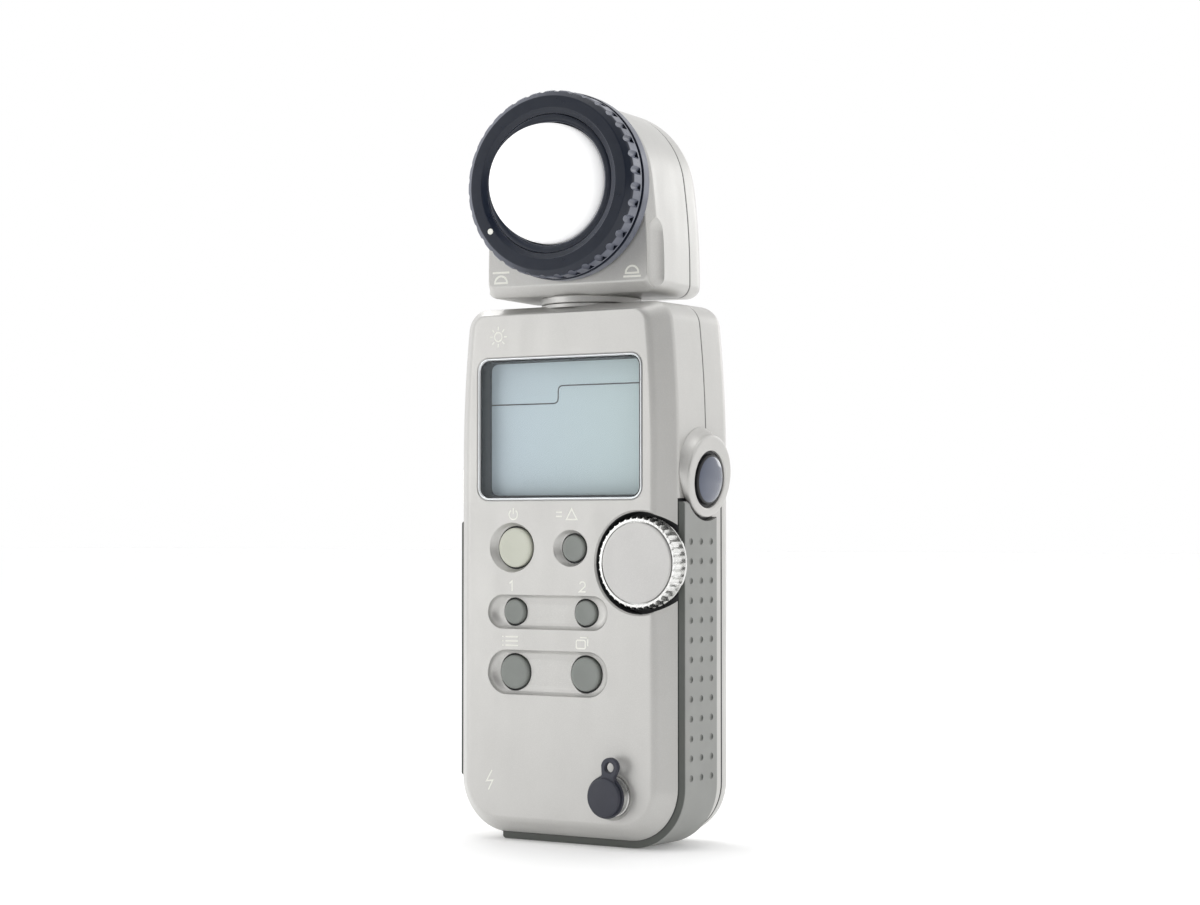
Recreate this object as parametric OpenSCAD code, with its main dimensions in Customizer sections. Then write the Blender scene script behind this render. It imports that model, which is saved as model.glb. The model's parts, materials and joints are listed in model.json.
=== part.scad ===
// Handheld light meter with a swivelling receptor head.
// Origin: on the neck axis, in the plane of the base. +X is the user's right, -Y is the front, +Z is up.

/* [Body] */
// Width of the body at its sides
body_w = 54; // [52:0.5:56]
// Height of the body's top above the base
body_h = 111.9; // [110:0.1:113]
// Front face of the body, as a depth in front of the neck axis
face_y = 12.7; // [12.2:0.1:13.2]
// Back of the body, as a depth behind the neck axis
back_y = 13; // [13:0.1:14]
// Wall thickness of the shells
wall = 1.6; // [1.4:0.1:1.8]
// Radius of the body's lower corners
corner_r = 11.5; // [10:0.5:13]
// How far the rubber grip stands out from the shell
grip_proud = 1.4; // [1:0.1:1.6]

/* [Display] */
// Width of the display opening
display_w = 40.9; // [38:0.1:41]
// Height of the display opening
display_h = 29.9; // [28:0.1:30]
// Height of the display's centre above the base
display_z = 86.25; // [86:0.05:86.5]

/* [Keys] */
// Radius of the power key
power_r = 4.15; // [3.6:0.05:4.2]
// Radius of the averaging key
average_r = 2.75; // [2.3:0.05:2.8]
// Radius of the two film speed keys
speed_r = 2.6; // [2.4:0.05:2.8]
// Radius of the mode and memory keys
mode_r = 3.55; // [3.4:0.05:3.8]
// Gap round each key
key_gap = 0.25; // [0.2:0.05:0.3]

/* [Jog wheel] */
// Outer radius of the jog wheel
jog_r = 9.5; // [9.2:0.1:9.6]
// Number of teeth round the jog wheel
jog_teeth = 40; // [36:2:44]

/* [Measuring button] */
// Outer radius of the button's surround
boss_r = 8.5; // [8.2:0.1:8.7]
// Radius of the measuring button
measure_r = 5.1; // [4.8:0.1:5.2]

/* [Head] */
// Turn of the head from straight ahead at rest, in degrees
head_turn = 6; // [0:1:15]
// Front face of the head, as a depth in front of the neck axis
head_face_y = 11.4; // [11:0.1:11.8]
// Height of the ring's centre above the base
ring_z = 136.2; // [136:0.1:136.3]
// Outer radius of the ring over its lugs
ring_r = 19.5; // [19.2:0.1:19.6]
// Front of the ring, as a depth in front of the neck axis
ring_front_y = 19.9; // [19.6:0.1:20.2]
// Number of lugs round the ring
ring_lugs = 36; // [30:1:40]
// Radius of the diffuser dome
dome_r = 12.4; // [12:0.1:12.5]

/* [Battery bay] */
// Radius of the battery cell
cell_r = 8.5; // [8:0.1:8.5]
// Length of the battery cell's can
cell_len = 33.5; // [33:0.1:33.5]

/* [Fasteners] */
// Radius of the tripod socket's hole
tripod_r = 3.2; // [3.175:0.025:3.25]

/* [Hidden] */
$fn = 64;
eps = 0.01;
slack = 0.02;
champagne = [0.74, 0.74, 0.73];
ink = [0.17, 0.2, 0.24];
rubber_grey = [0.58, 0.6, 0.59];
key_grey = [0.55, 0.57, 0.56];
steel = [0.8, 0.8, 0.82];

// Outline of the body seen from the front.
half_w = body_w / 2;
base_gap = 1.4;
taper_z = 80;
side_curve_r = 260;
top_r = 4.8;
side_front_y = 8.9;
part_upper_y = 1.7;
part_lower_y = 7.9;
part_step_z = 70;
seam = 0.2;
back_edge_r = 4;

// Outline of the flat front face.
face_half_w = 23.2;
face_low_z = 4.6;
face_top_z = 110.3;
face_top_r = 3.2;
face_corner_r = 8;

// Depths of the stack behind the front face, all measured in front of the neck axis.
inner_y = face_y - wall;
pad_y = 9.7;
gasket_back_y = 9.05;
panel_back_y = 8.1;
mat_y = 8.5;
switch_y = 8.2;
board_y = 7.5;
board_back_y = 6.5;

// Keys: centre across, centre up, radius and depth of the cap's face.
power_at = [-11.3, 61.35];
average_at = [3.4, 61.25];
slot_x = -2.8;
speed_z = 47.9;
mode_z = 35.3;
key_pitch = 17.75;
slot_len = 29.8;
speed_slot_h = 7;
mode_slot_h = 9.2;
slot_depth = 1.6;
power_face_y = 12.2;
key_face_y = 11.85;
flange_y = 9.6;
flange_t = 0.4;
flange_rim = 0.7;
KEYS = [[power_at, power_r, power_face_y],
        [average_at, average_r, power_face_y],
        [[slot_x - key_pitch / 2, speed_z], speed_r, key_face_y],
        [[slot_x + key_pitch / 2, speed_z], speed_r, key_face_y],
        [[slot_x - key_pitch / 2, mode_z], mode_r, key_face_y],
        [[slot_x + key_pitch / 2, mode_z], mode_r, key_face_y]];

// Jog wheel.
jog_at = [19.7, 58.35];
jog_front_y = 13.4;
jog_back_y = 9.2;
jog_disc_r = 8.32;
jog_disc_y = 13.6;
well_r = jog_r + 1;
well_floor_y = 8.95;
well_back_y = 8;
shaft_r = 2;
scallop_r = 0.76;

// Measuring button, on an axis that leans down from X by boss_tilt degrees, and its flared surround.
boss_z = 75.57;
boss_tilt = 5;
boss_h = 2.15;
boss_up = 0.67;
boss_face_z = boss_z + boss_up - boss_h * sin(boss_tilt);
boss_root_z = 77.4;
boss_root_r = 8.75;
boss_neck_r = 7;
boss_mouth_r = 5.86;
measure_h = 2.85;
measure_gap = 0.2;

// Grips.
grip_top_z = 70.8;
grip_gap = 0.7;
grip_left_x = -16.5;
grip_back_y = 4;
grip_sink = 0.8;
left_proud = 0.8;
left_low_z = 12.8;
left_top_z = 66.8;
dimple_rows = 13;
dimple_pitch = 4;
dimple_top_z = 62.7;
dimple_y = [-6.5, -2.5, 1.5];
dimple_r = 0.6;
dimple_deep = 0.5;

// Sync terminal.
sync_at = [13.2, 10.8];
sync_r = 3.4;
sync_front_y = 15;
sync_bore_r = 1.75;
sync_bore_back_y = 9;
cap_r = 4;
cap_front_y = 16;
cap_back_y = 14.5;
cap_lug_at = [14.4, 16.9];
cap_lug_r = 2;
cap_hole_r = 1;

// Strap lug.
lug_z = 74.4;
lug_h = 12.4;
lug_x = -30.2;
lug_hole_x = -28.2;
lug_hole_r = 1.3;

// Battery bay and cover.
bay_half_w = 18.8;
bay_low_z = 12.3;
bay_top_z = 55.2;
bay_front_y = -6.3;
bay_wall = 0.8;
bay_rib_x = 1;
plate_t = 0.8;
cell_x = -8.6;
cell_y = 2.9;
cell_low_z = 18.6;
cell_tip_r = 2.8;
spring_r = 4.6;
spring_wire_r = 0.55;
spring_pitch = 1.45;
cover_half_w = 17.5;
cover_top_z = 57;
cover_t = 1.3;
cover_fit = 0.3;
latch_half_w = 4.9;
latch_low_z = 49.6;
latch_top_z = 54.6;
latch_t = 0.65;
latch_pocket = 0.95;
latch_reach = 1.2;
latch_rib_z = 50.3;
latch_rib_pitch = 1.1;
tongue_half_w = 2.9;
hinge_z = 15.8;
hinge_y = 10.6;
hinge_pin_r = 0.6;
hinge_pin_half = 17.2;
dip_pitch = 2.1;
ear_x = 15.4;
ear_t = 1;
ear_reach = 2.6;
ear_fit = 0.3;

// Neck.
neck_r = 10.6;
neck_gap_z = 112.25;
tube_r = 5;
bush_r = 7.5;

// Head outline seen from the front.
head_low_z = 113.9;
head_corner_r = 2.8;
head_taper_z = 118;
head_side_r = 150;
head_arch_z = 135.6;
head_arch_r = 18.95;
head_half_w = head_side_r - (head_side_r - head_arch_r)
    * cos(asin((head_arch_z - head_taper_z) / (head_side_r - head_arch_r)));
head_bevel = 1.55;
head_bevel_y = 9.4;
head_part_y = 6;
head_edge_y = 9.6;
head_edge_r = 7;
head_slope = 1.2;
head_wall = 1.7;
head_front_wall = 2.7;
head_lift = 0.7;
head_back_y = head_edge_y + head_edge_r;
groove_at = [22, -9.6];
groove_r = 3.8;
groove_low_z = 117.7;
groove_top_z = 126.2;
barrel_r = 14.35;
barrel_bore_r = 13.4;
barrel_back_y = -3.95;
lip_r = 12.75;
ring_bore_r = barrel_r + 0.1;
ring_back_y = 11.7;
ring_face_r = 18;
ring_slope_r = 15.6;
lug_drop = 0.2;
dome_base_y = 19;
dome_skirt = 1.5;
dome_inner_r = dome_r - 0.9;
carrier_front_y = 17.45;
carrier_back_y = 15.9;
carrier_r = 13.1;
dot_at_r = 16.3;
dot_a = 214.7;
dot_r = 0.65;

bush_hole_r = 4.25;
screw_r = 0.95;
screw_head_r = 1.9;
screw_sink = 1.2;
cross_long = 1.2;
cross_half = 0.2;
SHELL_SCREWS = [[-14.5, 105], [14.5, 105], [-21.4, 34], [21.4, 34]];
HEAD_SCREWS = [[-11.5, 121], [11.5, 121]];

// Points of an arc round c.
function arc(c, r, a0, a1, n = 8) =
    [for (i = [0:n]) let (a = a0 + (a1 - a0) * i / n) [c[0] + r * cos(a), c[1] + r * sin(a)]];

// The right half of an outline and its mirror image, as one closed list of points.
function both_sides(p) = concat(p, [for (i = [len(p) - 1:-1:0]) [-p[i][0], p[i][1]]]);

// Right half of an outline: lower corner of radius rb, a side that curves in above height zk with radius rk,
// top corner of radius rt in n steps. The side's arc and the top corner are tangent.
function tapered(w, z0, rb, zk, rk, zt, rt, n = 8) =
    let (t = asin((zt - rt - zk) / (rk - rt)))
    concat(arc([w - rb, z0 + rb], rb, -90, 0), arc([w - rk, zk], rk, 0, t, 6),
           arc([w - rk + (rk - rt) * cos(t), zt - rt], rt, t, 90, n));

// Body outline moved in by d.
function body_pts(d) = both_sides(tapered(half_w - d, base_gap + d, max(corner_r - d, 1), taper_z,
    side_curve_r - d, body_h - d, max(top_r - d, 0.8)));

// Outline of the flat face moved in by d.
function face_pts(d) = both_sides(tapered(face_half_w - d, face_low_z + d, face_corner_r - d, taper_z,
    side_curve_r - d, face_top_z - d, face_top_r - d));

// Head outline moved in by d, with its lower edge raised by up and the top of its arch lowered by drop.
function head_pts(d, up = 0, drop = 0) = both_sides(tapered(head_half_w - d, head_low_z + d + up,
    max(head_corner_r - d, 0.5), head_taper_z, head_side_r - d, head_arch_z + head_arch_r - d - drop,
    head_arch_r - d, 14));

// Extrudes an outline drawn across X and Z from depth y0 to y1.
module slab(y0, y1) {
    translate([0, y1, 0]) rotate([90, 0, 0]) linear_extrude(y1 - y0) children();
}

// Round bar along Y.
module y_bar(at, r, y0, y1) {
    translate([at[0], y1, at[1]]) rotate([90, 0, 0]) cylinder(r = r, h = y1 - y0);
}

// Cone along Y: radius ra at y0 and rb at y1.
module y_cone(at, ra, rb, y0, y1) {
    translate([at[0], y1, at[1]]) rotate([90, 0, 0]) cylinder(r1 = rb, r2 = ra, h = y1 - y0);
}

// Round bar along X.
module x_bar(at, r, x0, x1) {
    translate([x0, at[0], at[1]]) rotate([0, 90, 0]) cylinder(r = r, h = x1 - x0);
}

// Turns a profile of [radius, depth] points round an axis along Y.
module y_turned(at, points) {
    translate([at[0], 0, at[1]]) rotate([90, 0, 0]) rotate_extrude()
        polygon([for (p = points) [p[0], -p[1]]]);
}

// Turns a profile of [radius, distance] points round an axis along X.
module x_turned(at, points) {
    translate([0, at[0], at[1]]) rotate([0, 90, 0]) rotate_extrude() polygon(points);
}

// Box from its two corners.
module block(low, high) {
    translate(low) cube(high - low);
}

// Rounded rectangle centred on the display.
module display_shape(w, h, r) {
    translate([0, display_z]) polygon(concat(arc([w / 2 - r, h / 2 - r], r, 0, 90, 6),
        arc([r - w / 2, h / 2 - r], r, 90, 180, 6), arc([r - w / 2, r - h / 2], r, 180, 270, 6),
        arc([w / 2 - r, r - h / 2], r, 270, 360, 6)));
}

// Slot with round ends, len long and h high.
module slot_shape(z, len, h) {
    translate([slot_x, z]) union() {
        square([len - h, h], center = true);
        translate([(len - h) / 2, 0]) circle(r = h / 2);
        translate([(h - len) / 2, 0]) circle(r = h / 2);
    }
}

// Thin slices of a rounded rear edge of radius r that starts at depth y. Each slice's outline is a child
// drawn with $inset, the distance to move it in.
module back_edge(y, r) {
    for (a = [22.5:22.5:90]) {
        $inset = r * (1 - cos(a));
        slab(y + r * sin(a) - eps, y + r * sin(a)) children();
    }
}

module turned_head() {
    rotate([0, 0, head_turn]) children();
}

// Puts children drawn round the X axis on the measuring button's axis, with X = 0 in the side face.
module on_boss() {
    translate([half_w, 0, boss_z]) rotate([0, boss_tilt, 0]) children();
}

// ---- casing ----

module front_outer() {
    hull() {
        slab(-face_y, eps - face_y) polygon(face_pts(0));
        slab(-side_front_y, part_upper_y) polygon(body_pts(0));
    }
    intersection() {
        slab(0, part_lower_y) polygon(body_pts(0));
        block([-half_w - 1, 0, 0], [half_w + 1, part_lower_y, part_step_z]);
    }
}

module front_cavity() {
    hull() {
        slab(-inner_y, eps - inner_y) polygon(face_pts(wall / 2));
        slab(wall / 2 - side_front_y, part_lower_y + 1) polygon(body_pts(wall));
    }
}

module front_pads() {
    block([-19.4, -inner_y - eps, 28.2], [13.8, -pad_y, 67.8]);
    y_bar(jog_at, well_r + 1, -inner_y - eps, -well_back_y);
    y_bar(sync_at, 6, -inner_y - eps, -sync_bore_back_y);
}

module key_openings() {
    for (k = KEYS) y_bar(k[0], k[1] + key_gap, -face_y - 1, 1 - pad_y);
    y_cone(power_at, power_r + 1.7, power_r + 0.4, -face_y - eps, 0.9 - face_y);
    y_cone(average_at, average_r + 1.1, average_r + 0.4, -face_y - eps, 0.9 - face_y);
    slab(-face_y - 1, slot_depth - face_y) slot_shape(speed_z, slot_len, speed_slot_h);
    slab(-face_y - 1, slot_depth - face_y) slot_shape(mode_z, slot_len, mode_slot_h);
}

module side_openings() {
    on_boss() x_bar([0, 0], boss_neck_r + 0.05, -4, 1.5);
    block([-half_w - 1, -5.05, lug_z - lug_h / 2 - 0.05], [-half_w + 4, 1.05, lug_z + lug_h / 2 + 0.05]);
}

module front_shell() {
    color(champagne)
    difference() {
        union() {
            difference() {
                front_outer();
                front_cavity();
            }
            intersection() {
                front_outer();
                front_pads();
            }
            for (s = SHELL_SCREWS) y_bar(s, 2.2, -inner_y - eps, s[1] > taper_z ? 0.5 : 5.5);
        }
        slab(-face_y - 1, eps - inner_y) display_shape(display_w, display_h, 2.6);
        key_openings();
        y_bar(jog_at, well_r, -face_y - 1, -well_floor_y);
        y_bar(jog_at, shaft_r + 0.2, -face_y, 0);
        y_bar(sync_at, sync_r + slack, -face_y - 1, 0);
        y_cone(sync_at, 4.8, 4.3, -face_y - eps, 0.4 - face_y);
        translate([0, 0, body_h - 5]) cylinder(r = bush_r + slack, h = 6);
        translate([0, 0, -1]) cylinder(r = bush_hole_r, h = 12);
        side_openings();
        grip_envelope(slack, grip_gap);
        left_grip_envelope(slack);
        for (s = SHELL_SCREWS) y_bar(s, screw_r + slack, -6, 8);
    }
}

module rear_outer() {
    hull() {
        slab(part_upper_y + seam, back_y - back_edge_r) polygon(body_pts(0));
        back_edge(back_y - back_edge_r, back_edge_r) polygon(body_pts($inset));
    }
}

module rear_cavity() {
    hull() {
        slab(0, back_y - back_edge_r) polygon(body_pts(wall));
        slab(back_y - wall - eps, back_y - wall) polygon(body_pts(back_edge_r));
    }
}

module rear_shell() {
    color(champagne)
    difference() {
        rear_outer();
        rear_cavity();
        block([-half_w - 2, -1, -1], [half_w + 2, part_lower_y + seam, part_step_z + seam]);
        block([-cover_half_w - cover_fit, 5, hinge_z - back_y + hinge_y - cover_fit],
              [cover_half_w + cover_fit, back_y + 1, cover_top_z + cover_fit]);
        block([-3.4, 5, cover_top_z], [3.4, back_y + 1, cover_top_z + 1.6]);
        translate([0, 0, body_h - 5]) cylinder(r = bush_r + slack, h = 6);
        side_openings();
        for (s = SHELL_SCREWS) y_bar(s, screw_r + slack, 0, back_y + 1);
        for (s = SHELL_SCREWS) y_bar(s, screw_head_r + slack, back_y - screw_sink, back_y + 1);
    }
}

// ---- display ----

module display_window() {
    color("lightblue", 0.3)
    slab(-12.5, -11.6) display_shape(display_w - 1.4, display_h - 1.4, 2);
}

module display_bezel() {
    color("silver")
    difference() {
        slab(-face_y - 0.05, -inner_y) display_shape(display_w - 0.06, display_h - 0.06, 2.57);
        slab(-face_y - 1, 0) display_shape(display_w - 1.3, display_h - 1.3, 2.05);
    }
}

module display_gasket() {
    color("black")
    difference() {
        slab(0.05 - inner_y, -gasket_back_y) display_shape(display_w + 0.6, display_h + 1.6, 2.6);
        slab(-face_y, 0) display_shape(display_w - 1.6, display_h - 1.6, 1.8);
    }
}

module display_panel() {
    color([0.7, 0.76, 0.79])
    slab(-gasket_back_y, -panel_back_y) display_shape(display_w + 1, display_h + 1, 0.8);
}

module backlight_panel() {
    color("white")
    slab(-panel_back_y, -board_y - 0.05) display_shape(display_w, display_h, 0.8);
}

module main_board() {
    color("darkgreen")
    difference() {
        union() {
            block([-18.7, -board_y, 15.4], [18.7, -board_back_y, 53.4]);
            block([-22.4, -board_y, 53.4], [22.4, -board_back_y, 102]);
            block([-18.7, -board_y, 8], [8.6, -board_back_y, 15.4]);
        }
        y_bar(jog_at, shaft_r + 0.3, -9, -5);
    }
}

// ---- keys ----

module key_cap(k) {
    y_bar(k[0], k[1], -k[2], -flange_y);
    y_bar(k[0], k[1] + flange_rim, -flange_y, flange_t - flange_y);
}

module key_mat() {
    color("dimgray")
    difference() {
        block([-18, -mat_y, 30], [12.4, -switch_y - slack, 66.6]);
        y_bar(jog_at, well_r + 1.2, -face_y, 0);
    }
}

module key_switches() {
    color("black")
    for (k = KEYS) block([k[0][0] - 1.5, -switch_y, k[0][1] - 1.5], [k[0][0] + 1.5, -board_y, k[0][1] + 1.5]);
}

module power_button() {
    color([0.85, 0.86, 0.76])
    key_cap(KEYS[0]);
}

module average_button() {
    color(key_grey)
    key_cap(KEYS[1]);
}

module speed_button_1() {
    color(key_grey)
    key_cap(KEYS[2]);
}

module speed_button_2() {
    color(key_grey)
    key_cap(KEYS[3]);
}

module mode_button() {
    color(key_grey)
    key_cap(KEYS[4]);
}

module memory_button() {
    color(key_grey)
    key_cap(KEYS[5]);
}

// ---- jog wheel ----

module jog_wheel() {
    color("silver")
    difference() {
        y_bar(jog_at, jog_r, -jog_front_y, -jog_back_y);
        y_bar(jog_at, jog_disc_r + slack, -jog_front_y - 1, -12.9);
        y_bar(jog_at, shaft_r + slack, -13, -9);
        for (i = [0:jog_teeth - 1]) {
            a = i * 360 / jog_teeth;
            y_bar(jog_at + [cos(a), sin(a)] * (jog_r + 0.24), scallop_r, -jog_front_y - 1, 1 - jog_back_y);
        }
    }
}

module jog_disc() {
    color(champagne)
    y_bar(jog_at, jog_disc_r, -jog_disc_y, -12.9);
}

module jog_shaft() {
    color(steel)
    y_bar(jog_at, shaft_r, -12.88, -board_y + 0.8);
}

module jog_encoder() {
    color("dimgray")
    block([jog_at[0] - 3.1, -board_back_y, jog_at[1] - 3.1], [jog_at[0] + 2.8, -3.4, jog_at[1] + 3.1]);
}

// ---- grips ----

module grip_envelope(grow, rise = 0) {
    difference() {
        slab(-side_front_y - grow, grip_back_y + grow) polygon(body_pts(-grip_proud - grow));
        slab(-side_front_y - 1, grip_back_y + 1) polygon(body_pts(grip_sink + grow));
        block([-40, -20, -5], [grip_left_x - grow, 20, 130]);
        block([-40, -20, 20], [0, 20, 130]);
        block([0, -20, grip_top_z + rise], [40, 20, 130]);
    }
}

module right_grip() {
    color(rubber_grey)
    difference() {
        grip_envelope(0);
        x_bar([0, boss_face_z], boss_r + grip_gap, half_w - 3, half_w + 5);
        translate([0, 0, -1]) cylinder(r = bush_hole_r, h = 5);
        for (i = [0:dimple_rows - 1])
            for (y = dimple_y)
                x_bar([y, dimple_top_z - i * dimple_pitch], dimple_r, half_w + grip_proud - dimple_deep,
                      half_w + 3);
    }
}

module left_grip_envelope(grow) {
    intersection() {
        difference() {
            slab(-side_front_y + 0.4 - grow, grip_back_y + grow) polygon(body_pts(-left_proud - grow));
            slab(-side_front_y - 1, grip_back_y + 1) polygon(body_pts(grip_sink + grow));
        }
        block([-40, -20, left_low_z - grow], [0, 20, left_top_z + grow]);
    }
}

module left_grip() {
    color(rubber_grey)
    left_grip_envelope(0);
}

// ---- measuring button ----

module button_surround() {
    color(champagne)
    difference() {
        union() {
            hull() {
                x_bar([0, boss_root_z], boss_root_r, half_w + slack, half_w + 0.1);
                on_boss() x_bar([0, boss_up], boss_r, boss_h - 0.5, boss_h - 0.4);
                on_boss() x_bar([0, boss_up], boss_r - 0.4, boss_h - 0.1, boss_h);
            }
            on_boss() x_bar([0, 0], boss_neck_r, -2.4, 0.5);
        }
        on_boss() x_turned([0, 0], [[0, -5], [measure_r + measure_gap, -5], [measure_r + measure_gap, 0.6],
            [boss_mouth_r, 1.2], [boss_mouth_r, boss_h - 0.3], [boss_mouth_r + 0.4, boss_h + 0.1],
            [0, boss_h + 0.1]]);
    }
}

module measure_button() {
    color(ink)
    on_boss() x_turned([0, 0], [[0, -3], [measure_r + 0.6, -3], [measure_r + 0.6, -2.5], [measure_r, -2.5],
        [measure_r, measure_h - 0.9], [measure_r * 0.9, measure_h - 0.5], [measure_r * 0.6, measure_h - 0.15],
        [0, measure_h]]);
}

module measure_switch() {
    color("black")
    block([18.4, -3, boss_z - 3], [22.6, 3, boss_z + 3]);
}

// ---- fittings ----

module strap_lug() {
    color("silver")
    difference() {
        block([lug_x, -5, lug_z - lug_h / 2], [-half_w + 2.6, 1, lug_z + lug_h / 2]);
        y_bar([lug_hole_x, lug_z], lug_hole_r, -6, 2);
        for (s = [-1, 1])
            translate([lug_x, 0, lug_z + s * lug_h / 2]) rotate([0, 45, 0]) cube([3, 20, 3], center = true);
    }
}

module sync_terminal() {
    color("silver")
    difference() {
        union() {
            y_bar(sync_at, sync_r, -sync_front_y, -board_y - 0.2);
            y_bar(sync_at, 4.2, -12.75, -12.32);
        }
        y_bar(sync_at, sync_bore_r, -sync_front_y - 1, -sync_bore_back_y);
        y_bar(sync_at, 1 + slack, -10, -7);
    }
}

module sync_insulator() {
    color("black")
    difference() {
        y_bar(sync_at, 1, -sync_bore_back_y, -board_y - 0.2);
        y_bar(sync_at, 0.5 + slack, -10, -7);
    }
}

module sync_contact() {
    color("gold")
    y_bar(sync_at, 0.5, -12, -board_y - 0.2);
}

module terminal_cap() {
    color(ink)
    difference() {
        union() {
            y_bar(sync_at, cap_r, -cap_front_y, -cap_back_y);
            y_bar(cap_lug_at, cap_lug_r, -15.6, -14.4);
            translate([sync_at[0], -15.6, sync_at[1]]) rotate([0, -atan2(6.1, 1.2), 0])
                translate([0, 0, -1.5]) cube([6.2, 1.2, 3]);
        }
        y_bar(sync_at, sync_r + 0.05, -15.2, -cap_back_y + 1);
        y_bar(cap_lug_at, cap_hole_r, -17, -13);
    }
}

module tripod_bush() {
    color("silver")
    difference() {
        cylinder(r = 4.2, h = 9);
        translate([0, 0, -1]) cylinder(r = tripod_r, h = 8.5);
    }
}

module neck_base() {
    color(champagne)
    difference() {
        translate([0, 0, body_h]) cylinder(r = neck_r + 0.05, h = neck_gap_z - body_h);
        translate([0, 0, body_h - 1]) cylinder(r = bush_r + slack, h = 3);
    }
}

module swivel_bush() {
    color("dimgray")
    difference() {
        translate([0, 0, body_h - 4.4]) cylinder(r = bush_r, h = neck_gap_z - body_h + 4.4);
        translate([0, 0, body_h - 8]) cylinder(r = tube_r + 0.06, h = 12);
    }
}

module shell_screws() {
    color(steel)
    for (s = SHELL_SCREWS) {
        y_bar(s, screw_r, s[1] > taper_z ? -4 : 0, back_y - screw_sink);
        difference() {
            y_bar(s, screw_head_r, back_y - screw_sink, back_y - 0.3);
            block([s[0] - 1.2, back_y - 0.7, s[1] - 0.2], [s[0] + 1.2, back_y, s[1] + 0.2]);
            block([s[0] - 0.2, back_y - 0.7, s[1] - 1.2], [s[0] + 0.2, back_y, s[1] + 1.2]);
        }
    }
}

// ---- battery bay ----

module battery_bay() {
    color("dimgray")
    difference() {
        union() {
            difference() {
                block([-bay_half_w, bay_front_y, bay_low_z], [bay_half_w, back_y - wall - 0.1, bay_top_z]);
                block([-bay_half_w + bay_wall, bay_front_y + 0.6, bay_low_z + bay_wall],
                      [bay_half_w - bay_wall, back_y + 1, bay_top_z - bay_wall]);
            }
            block([bay_rib_x, bay_front_y, bay_low_z],
                  [bay_rib_x + bay_wall, hinge_y - ear_reach, bay_top_z]);
            block([1.5, bay_front_y, 24], [bay_half_w - 0.4, -1, 42]);
            for (s = [-1, 1]) {
                block([s * ear_x - ear_t / 2, hinge_y - 1, bay_low_z],
                      [s * ear_x + ear_t / 2, hinge_y + 0.7, hinge_z]);
                x_bar([hinge_y, hinge_z], 1, s * ear_x - ear_t / 2, s * ear_x + ear_t / 2);
            }
        }
        x_bar([hinge_y, hinge_z], hinge_pin_r + slack, -20, 20);
        block([-cover_half_w - 0.5, hinge_y - 3, bay_low_z + bay_wall],
              [-ear_x - ear_t / 2 - eps, 20, hinge_z]);
        block([ear_x + ear_t / 2 + eps, hinge_y - 3, bay_low_z + bay_wall],
              [cover_half_w + 0.5, 20, hinge_z]);
    }
}

module battery_cell() {
    color("goldenrod")
    translate([cell_x, cell_y, cell_low_z]) {
        cylinder(r = cell_r, h = cell_len);
        cylinder(r = cell_tip_r, h = cell_len + plate_t);
    }
}

module battery_spring() {
    color(steel)
    translate([cell_x, cell_y, bay_low_z + bay_wall])
        for (i = [0:3])
            translate([0, 0, spring_wire_r + eps + spring_pitch * i]) rotate_extrude()
                translate([spring_r - 0.5 * i, 0]) circle(r = spring_wire_r);
}

module battery_plate() {
    color(steel)
    block([cell_x - 4, cell_y - 4, cell_low_z + cell_len + plate_t],
          [cell_x + 4, cell_y + 4, bay_top_z - bay_wall]);
}

module setting_switches() {
    color("firebrick")
    difference() {
        block([5, -1, 28], [14.6, 2.4, 37]);
        for (i = [0:3]) block([6.2 + dip_pitch * i, 1.6, 29.4], [7.5 + dip_pitch * i, 3, 35.6]);
    }
    color("white")
    for (i = [0:3]) block([6.4 + dip_pitch * i, 1.6, 29.6], [7.3 + dip_pitch * i, 2.7, 32]);
}

module cover_hinge_pin() {
    color(steel)
    x_bar([hinge_y, hinge_z], hinge_pin_r, -hinge_pin_half, hinge_pin_half);
}

module battery_cover() {
    roll_r = back_y - hinge_y;
    color(champagne)
    difference() {
        union() {
            block([-cover_half_w, back_y - cover_t, hinge_z], [cover_half_w, back_y, cover_top_z]);
            x_bar([hinge_y, hinge_z], roll_r, -cover_half_w, cover_half_w);
        }
        x_bar([hinge_y, hinge_z], hinge_pin_r + 0.06, -30, 30);
        for (s = [-1, 1])
            block([s * ear_x - ear_t / 2 - ear_fit, 5, 10],
                  [s * ear_x + ear_t / 2 + ear_fit, 20, hinge_z + ear_reach]);
        block([-latch_half_w - cover_fit, back_y - latch_pocket, 46.8],
              [latch_half_w + cover_fit, 20, cover_top_z - latch_reach]);
        block([-tongue_half_w - cover_fit, back_y - latch_pocket, latch_low_z],
              [tongue_half_w + cover_fit, 20, cover_top_z + 1]);
    }
}

module cover_latch() {
    color("gray")
    union() {
        block([-latch_half_w, back_y - latch_t, latch_low_z], [latch_half_w, back_y, latch_top_z]);
        block([-tongue_half_w, back_y - latch_t, latch_top_z],
              [tongue_half_w, back_y - 0.1, cover_top_z + latch_reach]);
        for (i = [0:3])
            block([0.5 - latch_half_w, back_y - 0.1, latch_rib_z + i * latch_rib_pitch],
                  [latch_half_w - 0.5, back_y + 0.45, latch_rib_z + 0.5 + i * latch_rib_pitch]);
    }
}

// ---- head ----

module head_front_outer() {
    hull() {
        slab(-head_face_y, eps - head_face_y) polygon(head_pts(head_bevel, head_lift));
        slab(-head_bevel_y, head_part_y) polygon(head_pts(0));
    }
}

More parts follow.
